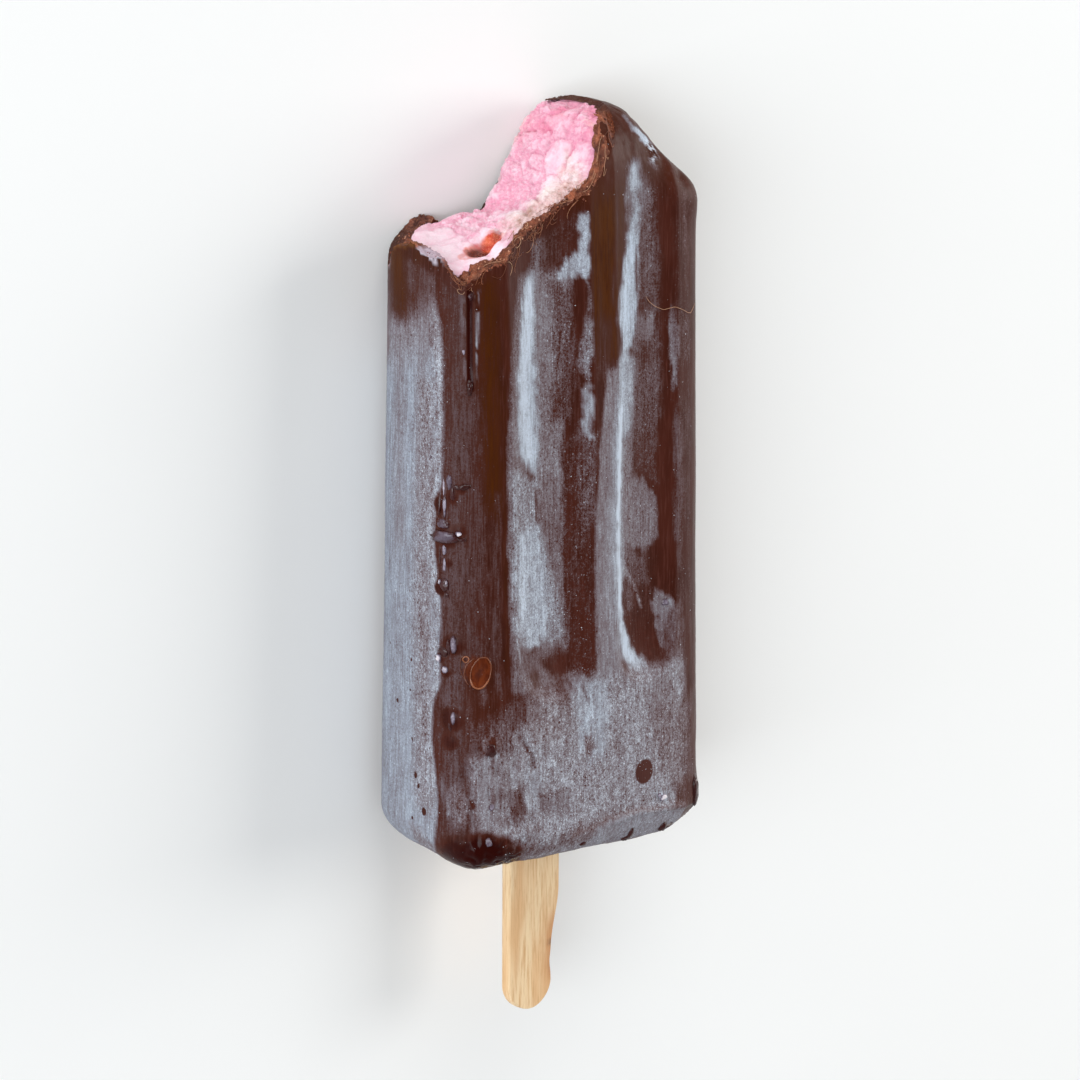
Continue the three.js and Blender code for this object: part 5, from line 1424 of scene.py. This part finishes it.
def stick_mesh():
    """The stick's outline as a loop, swept over a rounded edge profile, with flat faces of many quads."""
    half = STICK_W / 2
    high = STICK_LOW + STICK_LEN
    low_half = half - 0.675
    ys = np.concatenate([STICK_LOW + low_half * (1 - np.cos(np.linspace(0.03, math.pi / 2, 30))),
                         np.linspace(STICK_LOW + low_half, high - half, 170)[1:-1],
                         high - half * (1 - np.cos(np.linspace(math.pi / 2, 0.03, 20)))])
    k = smooth(STICK_LOW + low_half, STICK_LOW + low_half + 6, ys)
    waist = 1.35 * (1 - smooth(-18.5, -9.0, ys))
    left = -0.675 - low_half + (0.675 + low_half - half) * k
    right = np.where(ys < STICK_LOW + low_half, -0.675 + low_half, half - waist)
    wl = np.sqrt(np.clip(low_half ** 2 - np.clip(STICK_LOW + low_half - ys, 0, None) ** 2, 0, None))
    low_end = ys < STICK_LOW + low_half
    left = np.where(low_end, -0.675 - wl, left)
    right = np.where(low_end, -0.675 + wl, right)
    wh = np.sqrt(np.clip(half ** 2 - np.clip(ys - (high - half), 0, None) ** 2, 0, None))
    top = ys > high - half
    left = np.where(top, -wh, left)
    right = np.where(top, wh, right)
    right = right - 0.22 * gauss((ys + 20.6) / 1.5) * ~low_end       # small notch worn into the right edge
    mid, hw = (left + right) / 2, (right - left) / 2
    # profile around: flat top and bottom with many points, rounded edges
    e, th = 0.38, STICK_T / 2
    s = np.linspace(-1, 1, 17)
    arc = np.linspace(0, math.pi, 9)[1:-1]
    rings = np.empty((len(ys), 2 * len(s) + 2 * len(arc), 3))
    for i, y in enumerate(ys):
        ee = min(e, hw[i] * 0.8)
        tz = th * min(1.0, 0.35 + hw[i] / 1.2)
        w = hw[i] - ee
        pts = [(mid[i] + w * q, tz) for q in s]
        pts += [(mid[i] + w + ee * math.sin(a), tz * math.cos(a)) for a in arc]
        pts += [(mid[i] + w * q, -tz) for q in s[::-1]]
        pts += [(mid[i] - w - ee * math.sin(a), -tz * math.cos(a)) for a in arc]
        rings[i, :, 0] = [q[0] + STICK_X for q in pts]
        rings[i, :, 1] = y
        rings[i, :, 2] = [q[1] for q in pts]
    return rings[:, ::-1], (STICK_X - 0.675, STICK_LOW, 0), (STICK_X, high, 0)


rings, lo_pole, hi_pole = stick_mesh()
stick_obj = closed_rings("birch_stick", rings, lo_pole, hi_pole, (MAT_WOOD,))
me = stick_obj.data
p = coords(me)
me.calc_loop_triangles()
t = np.empty(len(me.loop_triangles) * 3, np.int32)
me.loop_triangles.foreach_get("vertices", t)
t = t.reshape(-1, 3)
if np.einsum("ij,ij->i", p[t[:, 0]], np.cross(p[t[:, 1]], p[t[:, 2]])).sum() < 0:
    me.flip_normals()
n = normals(me)
p = p + n * (0.03 * fbm(p / np.array([1.2, 9, 1.2]), 2, 101) + 0.012 * noise(p / np.array([0.5, 6, 0.5]), 102))[:, None]
x, y, z = p.T
right = STICK_X + STICK_W / 2 - 1.35 * (1 - smooth(-18.5, -9.0, y))
stain = gauss((x - right) / 1.7) * smooth(-11.5, -15.0, y) * smooth(-27, -21, y)
stain = np.maximum(stain, 0.5 * gauss((x - right) / 2.4) * gauss((y + 17) / 3.5))
stain = np.maximum(stain, 0.3 * gauss((x - (STICK_X - 3.2)) / 0.5) * gauss((y + 19.5) / 3.0))
stain = np.maximum(stain, 0.3 * smooth(-3.5, -1.0, y))
spot = 0.8 * gauss(np.hypot((x - right + 0.3) / 0.55, (y + 17.6) / 0.5)) + 0.75 * gauss(np.hypot((x - right + 0.15) / 0.35, (y + 21.0) / 1.4))
set_attr(me, "stain", np.clip(stain, 0, 1))
set_attr(me, "spot", np.clip(spot, 0, 1))
set_coords(me, to_row(p))
smooth_shade(me, 60)
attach(stick_obj, "root")
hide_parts("wooden_stick")

# ------------------------------------------------------------------ build: drops, strands, crumbs, crystals
rng = np.random.default_rng(11)


def triangles(me):
    me.calc_loop_triangles()
    t = np.empty(len(me.loop_triangles) * 3, np.int32)
    me.loop_triangles.foreach_get("vertices", t)
    k = np.empty(len(me.loop_triangles), np.int32)
    me.loop_triangles.foreach_get("material_index", k)
    return t.reshape(-1, 3), k


def scatter(p, t, weight, count):
    """Random places on the triangles, closer together where the weight is high, with their normals."""
    a, b, c = p[t[:, 0]], p[t[:, 1]], p[t[:, 2]]
    n = np.cross(b - a, c - a)
    size = np.linalg.norm(n, axis=1)
    w = np.cumsum(size * weight[t].mean(1))
    k = np.minimum(np.searchsorted(w, rng.random(count) * w[-1]), len(t) - 1)
    u, v = rng.random(count), rng.random(count)
    flip = u + v > 1
    u, v = np.where(flip, 1 - u, u), np.where(flip, 1 - v, v)
    at = a[k] + u[:, None] * (b - a)[k] + v[:, None] * (c - a)[k]
    return at, n[k] / (size[k][:, None] + 1e-12)


def frames(n):
    """Two directions along the surface for each normal: across the bar and up it."""
    up = np.tile([0.0, 1.0, 0.0], (len(n), 1))
    up[np.abs(n[:, 1]) > 0.9] = (1.0, 0.0, 0.0)
    across = np.cross(up, n)
    across /= np.linalg.norm(across, axis=1)[:, None]
    return across, np.cross(n, across)


def grains(name, at, n, size, flat, sink, mat, slot):
    """Small irregular octahedra sitting in the surface, all one piece."""
    m = len(at)
    base = np.array([[1, 0, 0], [0, 1, 0], [-1, 0, 0], [0, -1, 0], [0, 0, 1], [0, 0, -1]], float)
    local = base[None] * rng.uniform(0.6, 1.3, (m, 6, 1)) + rng.normal(0, 0.13, (m, 6, 3))
    turn = rng.uniform(0, 2 * math.pi, m)[:, None]
    lx, ly = local[..., 0].copy(), local[..., 1].copy()
    local[..., 0], local[..., 1] = lx * np.cos(turn) - ly * np.sin(turn), lx * np.sin(turn) + ly * np.cos(turn)
    local[..., 2] *= flat
    local[..., 2] -= sink
    local *= size[:, None, None]
    t1, t2 = frames(n)
    v = at[:, None] + local[..., 0:1] * t1[:, None] + local[..., 1:2] * t2[:, None] + local[..., 2:3] * n[:, None]
    faces = np.array([[0, 1, 4], [1, 2, 4], [2, 3, 4], [3, 0, 4], [1, 0, 5], [2, 1, 5], [3, 2, 5], [0, 3, 5]])
    tris = (faces[None] + 6 * np.arange(m)[:, None, None]).reshape(-1, 3)
    me = new_mesh(name, v.reshape(-1, 3), None, tris, (mat,))
    set_attr(me, "shade", np.repeat(rng.random(m), 6))
    return place_piece(name, me)


def place_piece(name, me):
    set_coords(me, to_row(coords(me)))
    o = new_object(name, me)
    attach(o, "root")
    return o


def tubes(name, paths, mat, sides=6, smooth_faces=True, shades=None):
    """Thin round threads along the paths, each (points, radius, closed)."""
    verts, quads, tris, shade = [], [], [], []
    base = 0
    for index, (pts, radius, closed) in enumerate(paths):
        pts = np.asarray(pts, float)
        m = len(pts)
        d = np.roll(pts, -1, 0) - np.roll(pts, 1, 0) if closed else np.gradient(pts, axis=0)
        d /= np.linalg.norm(d, axis=1)[:, None] + 1e-9
        ref = np.tile([0.13, 0.21, 0.97], (m, 1))
        a = np.cross(d, ref)
        a /= np.linalg.norm(a, axis=1)[:, None] + 1e-9
        b = np.cross(d, a)
        r = np.full(m, radius) * (1 if closed else np.clip(np.sin(math.pi * np.linspace(0.06, 0.94, m)) * 2.2, 0.35, 1))
        ang = np.arange(sides) / sides * 2 * math.pi
        ring = pts[:, None] + r[:, None, None] * (np.cos(ang)[None, :, None] * a[:, None] + np.sin(ang)[None, :, None] * b[:, None])
        verts.append(ring.reshape(-1, 3))
        i = np.arange(m if closed else m - 1)[:, None] * sides
        ni = (np.arange(m if closed else m - 1)[:, None] + 1) % m * sides
        j = np.arange(sides)[None]
        k = (j + 1) % sides
        quads.append((np.stack([i + j, i + k, ni + k, ni + j], -1).reshape(-1, 4)) + base)
        if not closed:
            for s in range(1, sides - 1):
                tris.append([[base, base + s + 1, base + s]])
                top = base + (m - 1) * sides
                tris.append([[top, top + s, top + s + 1]])
        shade.append(np.full(m * sides, rng.random() if shades is None else shades[index]))
        base += m * sides
    me = new_mesh(name, np.concatenate(verts), np.concatenate(quads), np.concatenate(tris) if tris else None, (mat,))
    set_attr(me, "shade", np.concatenate(shade))
    me.polygons.foreach_set("use_smooth", np.full(len(me.polygons), smooth_faces))
    return place_piece(name, me)


def shaded_material(name, colours, roughness, coat=0.0, scale=6.0, ior=1.4):
    """Between several colours by each grain's own shade, with a little unevenness."""
    m, nt, bsdf = new_material(name)
    g = Graph(nt)
    n = g.noise(g.place((scale, scale, scale)), 1.0, 2.0)
    t = g.math("ADD", g.attr("shade"), g.math("MULTIPLY", g.math("SUBTRACT", n, 0.5), 0.4))
    col = srgb(*colours[0])
    for k in range(1, len(colours)):
        a, b = (k - 1) / (len(colours) - 1), k / (len(colours) - 1)
        col = g.mix(g.ramp(t, a, b), col, srgb(*colours[k]))
    g.put(bsdf.inputs["Base Color"], col)
    g.put(bsdf.inputs["Roughness"], g.ramp(n, 0.2, 0.8, max(roughness - 0.08, 0.05), roughness + 0.08))
    bsdf.inputs["IOR"].default_value = ior
    bsdf.inputs["Coat Weight"].default_value = coat
    bsdf.inputs["Coat Roughness"].default_value = 0.12
    return m


MAT_DROP = shaded_material("melted_drops", ((52, 15, 11), (62, 28, 28), (92, 78, 90), (156, 146, 160), (224, 216, 220)), 0.3, 0.35, 2.4, 1.25)
MAT_RING = shaded_material("burst_bubble_skin", ((82, 34, 15), (150, 88, 54)), 0.35, 0.3, 3.0)
MAT_STRAND = shaded_material("caramel_strands", ((92, 44, 26), (140, 80, 52), (204, 158, 124)), 0.45, 0.0, 3.0)
MAT_CRUMB = shaded_material("coating_crumbs", ((86, 38, 24), (126, 60, 38), (160, 88, 60), (206, 150, 120)), 0.6)
MAT_CRYSTAL = shaded_material("frost_crystals", ((168, 166, 176), (224, 226, 234)), 0.35)

skin_p, skin_n = to_mould(coords(coat_obj.data)), normals(coat_obj.data) @ ROT
on_cut, on_skin = cut_vertices(coat_obj.data)
coat_t, coat_k = triangles(coat_obj.data)
only_skin = np.flatnonzero(on_skin & ~on_cut)


def surface(q):
    """The coating's point nearest to q, and its normal there."""
    near = np.argsort(((skin_p[only_skin] - q) ** 2).sum(1))[:4]
    ids = only_skin[near]
    n = skin_n[ids].mean(0)
    n /= np.linalg.norm(n)
    at = skin_p[ids].mean(0)
    q = np.asarray(q, float)
    return q + n * ((at - q) @ n), n


# The small pale drops at (-21.2, 50.8), (-22.6, 43.6), (-22.2, 43.6), (12.4, 6.1) and (11.7, 6.6) are painted
# highlights.
DROPS = (  # place, radius across, radius along the bar, height, shade (0 dark, 1 pale)
    ((-22.2, 50.2, 7.2), 1.9, 0.85, 0.5, 0.5), ((-22.8, 49.9, 5.6), 1.2, 0.3, 0.25, 0.1), ((-21.2, 50.8, 8.6), 0.42, 0.36, 0.5, 0.95),
    ((-21.0, 49.9, 8.8), 0.9, 0.28, 0.3, 0.12), ((-20.5, 57.4, 9.0), 0.85, 0.5, 0.42, 0.02), ((-21.3, 57.3, 8.2), 0.7, 0.4, 0.3, 0.1),
    ((-21.9, 57.9, 7.4), 0.5, 1.2, 0.3, 0.5), ((-21.6, 56.4, 7.8), 0.35, 1.1, 0.26, 0.18), ((-22.3, 57.2, 6.7), 0.2, 1.5, 0.16, 0.8),
    ((-22.3, 54.4, 6.9), 0.26, 1.5, 0.2, 0.72), ((-22.6, 55.2, 6.2), 0.2, 1.9, 0.18, 0.16), ((-22.4, 51.9, 6.6), 1.0, 0.7, 0.3, 0.42),
    ((-22.4, 48.2, 6.9), 0.4, 0.8, 0.25, 0.66), ((-22.4, 46.0, 7.0), 0.34, 1.1, 0.25, 0.7), ((-22.6, 47.4, 6.3), 0.22, 1.7, 0.2, 0.12),
    ((-22.4, 43.2, 7.0), 0.75, 0.95, 0.42, 0.2), ((-22.6, 43.6, 6.4), 0.22, 0.36, 0.6, 0.85), ((-22.2, 43.6, 7.3), 0.22, 0.45, 0.62, 0.8),
    ((-22.3, 41.8, 7.3), 0.4, 0.5, 0.3, 0.14), ((-22.8, 32.6, 6.4), 0.5, 0.52, 0.42, 0.95), ((-22.5, 31.0, 7.3), 0.5, 0.56, 0.36, 0.85),
    ((-22.6, 33.6, 6.9), 0.8, 0.7, 0.3, 0.08), ((-21.8, 34.7, 8.3), 0.5, 1.2, 0.32, 0.62), ((-22.1, 34.2, 7.7), 0.35, 1.2, 0.26, 0.2),
    ((-22.0, 24.2, 8.4), 0.35, 1.0, 0.22, 0.6), ((-22.2, 22.9, 8.0), 0.3, 0.8, 0.2, 0.2), ((-17.9, 19.4, 11.6), 0.7, 0.9, 0.26, 0.1),
    ((13.5, 35.1, 12.0), 0.6, 0.62, 0.36, 0.6), ((-18.4, 5.9, 11.7), 0.62, 0.7, 0.3, 0.55),
    ((-17.9, 11.0, 11.7), 0.42, 0.6, 0.26, 0.6), ((12.4, 6.1, 12.9), 0.7, 0.5, 0.34, 1.0),
    ((11.7, 6.6, 13.0), 0.4, 0.4, 0.3, 0.7), ((7.2, 1.4, 12.3), 0.55, 1.0, 0.42, 0.04), ((6.6, 0.7, 11.6), 0.9, 0.5, 0.4, 0.04),
    ((13.9, 0.7, 11.4), 0.75, 0.9, 0.5, 0.03), ((15.0, 0.6, 10.6), 1.3, 0.5, 0.4, 0.05), ((-1.8, 2.0, 12.4), 0.7, 0.5, 0.34, 0.12),
    ((20.5, 5.0, 10.4), 0.8, 2.4, 0.55, 0.06), ((21.6, 3.4, 8.2), 1.2, 1.6, 0.5, 0.03), ((-19.75, 71.3, 9.2), 0.46, 1.3, 0.45, 0.02),
    ((-19.6, 83.7, 9.1), 0.34, 0.5, 0.3, 0.3), ((-20.4, 76.2, 8.7), 0.2, 0.5, 0.22, 0.7), ((-23.0, 61.0, 4.6), 0.3, 0.4, 0.16, 0.4),
)


def drops(name, mat):
    verts, tris, shade = [], [], []
    nu, nv = 22, 11
    base = 0
    for place, across, along, high, pale in DROPS:
        at, n = surface(place)
        t1, t2 = (q[0] for q in frames(n[None]))
        lat = np.linspace(0, math.pi, nv)[1:-1]
        lon = np.arange(nu) / nu * 2 * math.pi
        th_, ph_ = np.meshgrid(lat, lon, indexing="ij")
        pts = np.stack([np.sin(th_) * np.cos(ph_), np.sin(th_) * np.sin(ph_), np.cos(th_)], -1).reshape(-1, 3)
        pts = np.concatenate([pts, [[0, 0, 1], [0, 0, -1]]])
        seed = np.array([base * 0.37, 1.7, 3.1])
        pts = pts * (1 + 0.42 * fbm(pts * 1.5 + seed, 3, 140))[:, None]
        v = at + pts[:, :1] * across * t1 + pts[:, 1:2] * along * t2 + (pts[:, 2:] * high - 0.12) * n
        rows, m = nv - 2, len(pts)
        i = np.arange(rows - 1)[:, None] * nu
        j = np.arange(nu)[None]
        k = (j + 1) % nu
        q = np.stack([i + j, i + nu + j, i + nu + k, i + k], -1).reshape(-1, 4)
        tris.append(np.concatenate([q[:, [0, 1, 2]], q[:, [0, 2, 3]]]) + base)
        j = np.arange(nu)
        tris.append(np.stack([np.full(nu, m - 2), j, (j + 1) % nu], 1) + base)
        last = (rows - 1) * nu
        tris.append(np.stack([np.full(nu, m - 1), last + (j + 1) % nu, last + j], 1) + base)
        verts.append(v)
        # each pale drop is painted lighter on top than at its foot: painted shading
        top = smooth(0.2, 0.95, pts[:, 2])
        shade.append(pale * (0.45 + 0.55 * top) if pale > 0.3 else np.full(m, pale))
        base += m
    me = new_mesh(name, np.concatenate(verts), None, np.concatenate(tris), (mat,))
    set_attr(me, "shade", np.concatenate(shade))
    me.polygons.foreach_set("use_smooth", np.ones(len(me.polygons), bool))
    return place_piece(name, me)


pieces = [drops("melt_drops", MAT_DROP)]


def ellipse(place, across, along, tilt, start=0.0, stop=2 * math.pi, count=44, lift=0.05):
    _, n = surface(place)
    t1, t2 = (q[0] for q in frames(n[None]))
    ang = np.linspace(start, stop, count, endpoint=stop - start < 6.2)
    out = []
    for a in ang:
        u, v = across * math.cos(a), along * math.sin(a)
        u, v = u * math.cos(tilt) - v * math.sin(tilt), u * math.sin(tilt) + v * math.cos(tilt)
        q = np.asarray(place) + u * t1 + v * t2
        at, m = surface(q)
        out.append(at + m * lift)
    out = np.array(out)
    return out + 0.05 * np.stack([noise(out / 0.6, k) for k in (151, 152, 153)], 1)


ring_paths = [(ellipse((-18.9, 30.8, 10.6), 1.4, 2.25, -0.25), 0.08, True),
              (ellipse((-18.9, 30.8, 10.6), 1.42, 2.28, -0.25, 3.6, 6.0, 22), 0.13, False),
              (ellipse((-19.6, 30.9, 10.3), 1.5, 2.0, -0.2, 1.9, 4.4, 20), 0.08, False),
              (ellipse((-20.9, 31.6, 9.5), 0.5, 1.7, 0.1, 1.2, 4.9, 20), 0.07, False),
              (ellipse((-20.7, 32.8, 9.6), 0.42, 0.4, 0.0, count=16), 0.1, True)]
pieces.append(tubes("burst_bubble", ring_paths, MAT_RING, 8, True, (0.45, 0.8, 0.3, 0.2, 0.7)))


def rim_place(x, s, lift):
    """A place by the front rim: below it on the front face for s < 0, on the broken edge for s > 0."""
    rim = eased(RIM_FRONT_OUT, x)
    yy = np.minimum(rim, 106.0) + np.minimum(s, 0)
    zf = front_z(x, yy) - flute_depth(x, yy)
    z = np.where(s > 0, zf - 0.9 * s, zf)
    y = np.where(s > 0, np.minimum(bite_height(x, z), rim + 3.0), yy)
    return np.stack([x, y + lift * (s > 0) + 0.3 * lift, z + lift * np.where(s > 0, 0.5, 1.0)], 1)


def strand(x0, s0, length, heading, curl, lift, count=16):
    x, s = [x0], [s0]
    a = heading
    bend = rng.normal(0, curl)
    for _ in range(count - 1):
        bend += rng.normal(0, curl * 0.5)
        a += bend
        x.append(x[-1] + length / count * math.cos(a))
        s.append(s[-1] + length / count * math.sin(a))
    s = np.clip(s, -4.0, 1.7)
    k = np.arange(count)
    up = lift * (0.5 + 0.5 * np.sin(k / count * math.pi + rng.uniform(0, 3)))
    return rim_place(np.clip(x, -23.0, 6.2), s, up)


paths = []
for _ in range(48):       # along the rim
    x0 = rng.uniform(-17.0, 0.5)
    paths.append((strand(x0, rng.uniform(-0.2, 1.2), rng.uniform(1.2, 4.0), rng.choice([0, math.pi]) + rng.normal(0, 0.35), 0.1, 0.16),
                  rng.uniform(0.025, 0.05), False))
for _ in range(14):       # hanging below it
    x0 = rng.uniform(-15, -7)
    paths.append((strand(x0, rng.uniform(-1.0, 0.2), rng.uniform(1.5, 4.5), rng.uniform(-2.6, -0.5), 0.14, 0.12), rng.uniform(0.022, 0.038), False))
for _ in range(22):       # the tangle under the lowest point
    x0 = rng.uniform(-22.0, -17.6)
    paths.append((strand(x0, rng.uniform(-1.4, 0.1), rng.uniform(1.0, 3.4), rng.uniform(-3.1, 0), 0.26, 0.2), rng.uniform(0.025, 0.045), False))
for _ in range(5):        # over the broken wall at the tip
    x0 = rng.uniform(2.6, 5.4)
    paths.append((strand(x0, rng.uniform(0.0, 1.3), rng.uniform(1.2, 3.0), rng.choice([0.0, math.pi]) + rng.normal(0, 0.25), 0.08, 0.14), rng.uniform(0.025, 0.045), False))
hair = np.array(((10.5, 79.9), (11.2, 79.0), (12.1, 78.3), (13.6, 77.6), (15.3, 77.9), (16.9, 77.2), (18.0, 76.6), (18.8, 76.4), (20.3, 77.4)))
s = np.linspace(0, 8, 40)
hair = np.column_stack([np.interp(s, range(9), hair[:, 0]), np.interp(s, range(9), hair[:, 1])])
hair = on_front(hair) + (0, 0, 0.14)
paths.append((hair, 0.036, False))
shades = [rng.random() for _ in paths[:-1]] + [0.8]
pieces.append(tubes("caramel_strands", paths, MAT_STRAND, 6, True, shades))

# crumbs of coating on and just below its broken edge
x, y, z = skin_p.T
above_table = coords(coat_obj.data)[:, 2] > 0.0014
below = bite_height(x, z) - y
weight = on_cut * (0.35 + smooth(2, 6, z)) * smooth(-3, 3, z)
weight = np.maximum(weight, 0.3 * smooth(1.3, 0.2, below) * smooth(5, 7, z) * smooth(9, 6, x) * smooth(-21.5, -20.0, x) * (below > -0.3))
weight = np.maximum(weight, 0.3 * on_cut)
weight *= smooth(106.2, 105.2, y) * (1 - 0.75 * smooth(96, 99, y)) * above_table
at, n = scatter(skin_p, coat_t, weight, 520)
pieces.append(grains("coating_crumbs", at, n, 0.07 + 0.15 * rng.random(len(at)) ** 2, 0.8, 0.15, MAT_CRUMB, "chocolate"))

# frost crystals
edge = np.interp(y, EDGE_AT, EDGE_Z)
weight = 1.6 * gauss((z - edge + 0.7) / 0.8) * (x < -20) * smooth(4, 9, y) * smooth(85, 80, y)
weight += 0.25 * (x < -20) * (z > -2) * (z < edge)
front = (z > 8.5).astype(float)
for cx, cy, r, w in ((-3.0, 10.5, 3.4, 3.0), (-1.2, 15.8, 2.2, 2.4), (13.5, 7.5, 4.5, 1.6), (12.4, 5.4, 2.4, 3.0), (-14.5, 13.5, 4.5, 0.9),
                     (4.5, 11.0, 8.0, 0.5), (-1.6, 57.0, 2.2, 1.6), (-2.4, 42.0, 2.4, 1.4), (-3.0, 33.0, 2.6, 1.4), (10.0, 47.0, 3.0, 0.9),
                     (9.0, 38.0, 2.4, 1.6), (13.4, 33.6, 1.6, 2.0), (-5.0, 78.0, 2.6, 0.6), (-1.0, 72.0, 1.4, 1.0), (17.4, 74.0, 1.6, 0.8)):
    weight += w * gauss(np.hypot((x - cx) / r, (y - cy) / (1.9 * r))) * front
weight += 0.12 * front + 0.5 * smooth(5, 2, y) * smooth(4, 9, z) + 0.05
# crowded on the crinkle, where their pale grains help paint its highlight
weight += 24.0 * gauss(np.linalg.norm((skin_p - (12.7, 99.9, 7.9)) / (0.8, 1.3, 1.6), axis=1))
weight *= (on_skin & ~on_cut)
weight *= smooth(-2.0, -0.5, y) * (0.08 + np.clip(skin_frost, 0, 1))
# only the outside, not the wall of the cavity
a_, b_ = section(np.clip(y, 0.0, BAR_LENGTH))
outside = (np.abs(x) / np.maximum(a_, 1)) ** POWER + (np.abs(z + 0.0) / np.maximum(b_, 1)) ** POWER
weight *= (outside > 0.66) | (flute_depth(x, y) > 0.3) & (np.abs(z) > b_ - 3.2)
weight *= above_table
at, n = scatter(skin_p, coat_t, weight, 3000)
pieces.append(grains("frost_crystals", at, n, 0.045 + 0.075 * rng.random(len(at)) ** 2, 0.7, 0.2, MAT_CRYSTAL, "chocolate"))

# ------------------------------------------------------------------ stage, light, camera
me = new_mesh("table", np.array([[-4, -4, 0], [4, -4, 0], [4, 4, 0], [-4, 4, 0]], float), [[0, 1, 2, 3]], mats=(MAT_FLOOR,))
floor = new_object("table", me)

world = bpy.data.worlds.new("studio")
world.use_nodes = True
wt = world.node_tree
g = Graph(wt)
up = wt.nodes.new("ShaderNodeSeparateXYZ")
wt.links.new(wt.nodes.new("ShaderNodeTexCoord").outputs["Generated"], up.inputs["Vector"])
sky = wt.nodes["Background"]
g.put(sky.inputs["Strength"], g.ramp(up.outputs["Z"], 0.0, 0.8, 0.95, 0.2, "LINEAR"))
sky.inputs["Color"].default_value = (0.95, 0.97, 1.0, 1.0)
bpy.context.scene.world = world


def area(name, at, toward, size, power, colour=(1, 1, 1)):
    d = bpy.data.lights.new(name, "AREA")
    d.shape = "RECTANGLE"
    d.size, d.size_y = size
    d.energy = power
    d.color = colour
    o = bpy.data.objects.new(name, d)
    bpy.context.scene.collection.objects.link(o)
    o.location = at
    o.rotation_euler = (Vector(toward) - Vector(at)).to_track_quat("-Z", "Y").to_euler()
    return o


area("left_window", (-1.5, 0.2, 0.9), (0, 0, 0.01), (0.8, 1.4), 22.0, (0.88, 0.94, 1.0))
area("right_window", (1.5, 0.25, 0.8), (0, 0, 0.01), (0.8, 1.4), 20.0, (1.0, 0.99, 0.97))
area("tip_window", (-0.1, 1.7, 0.8), (0, 0.03, 0.01), (1.4, 0.8), 10.0, (1.0, 0.98, 0.95))

th, ph, ro = math.radians(38.0), math.radians(16.5), math.radians(0.343)
DIST, FOCAL, TX, TY = 525.0, 3703.94, 0.304 * 1.05, 8.88 * 1.05
c = np.array([-math.sin(th) * math.cos(ph), math.sin(ph), math.cos(th) * math.cos(ph)])
r = np.array([math.cos(th), 0, math.sin(th)])
u = np.cross(c, r)
r2 = math.cos(ro) * r + math.sin(ro) * u
u2 = -math.sin(ro) * r + math.cos(ro) * u
eye = DIST * c - TX * r2 - TY * u2 + np.array([0, BAR_LENGTH / 2, 0])
cam_data = bpy.data.cameras.new("camera")
cam_data.sensor_width = 36.0
cam_data.lens = FOCAL / 1080.0 * 36.0
cam_data.clip_start, cam_data.clip_end = 0.01, 20.0
cam = bpy.data.objects.new("camera", cam_data)
bpy.context.scene.collection.objects.link(cam)
axes = np.stack([ROT @ r2, ROT @ u2, ROT @ c], 1)
mw = Matrix([list(axes[0]) + [0], list(axes[1]) + [0], list(axes[2]) + [0], [0, 0, 0, 1]])
mw.translation = Vector(to_row(eye))
cam.matrix_world = mw
bpy.context.scene.camera = cam
bpy.context.scene.view_settings.view_transform = "Standard"

for o in (coat_obj, cream_obj, stick_obj, *pieces):
    print("PIECE", o.name, len(o.data.vertices), sum(len(q.vertices) - 2 for q in o.data.polygons))
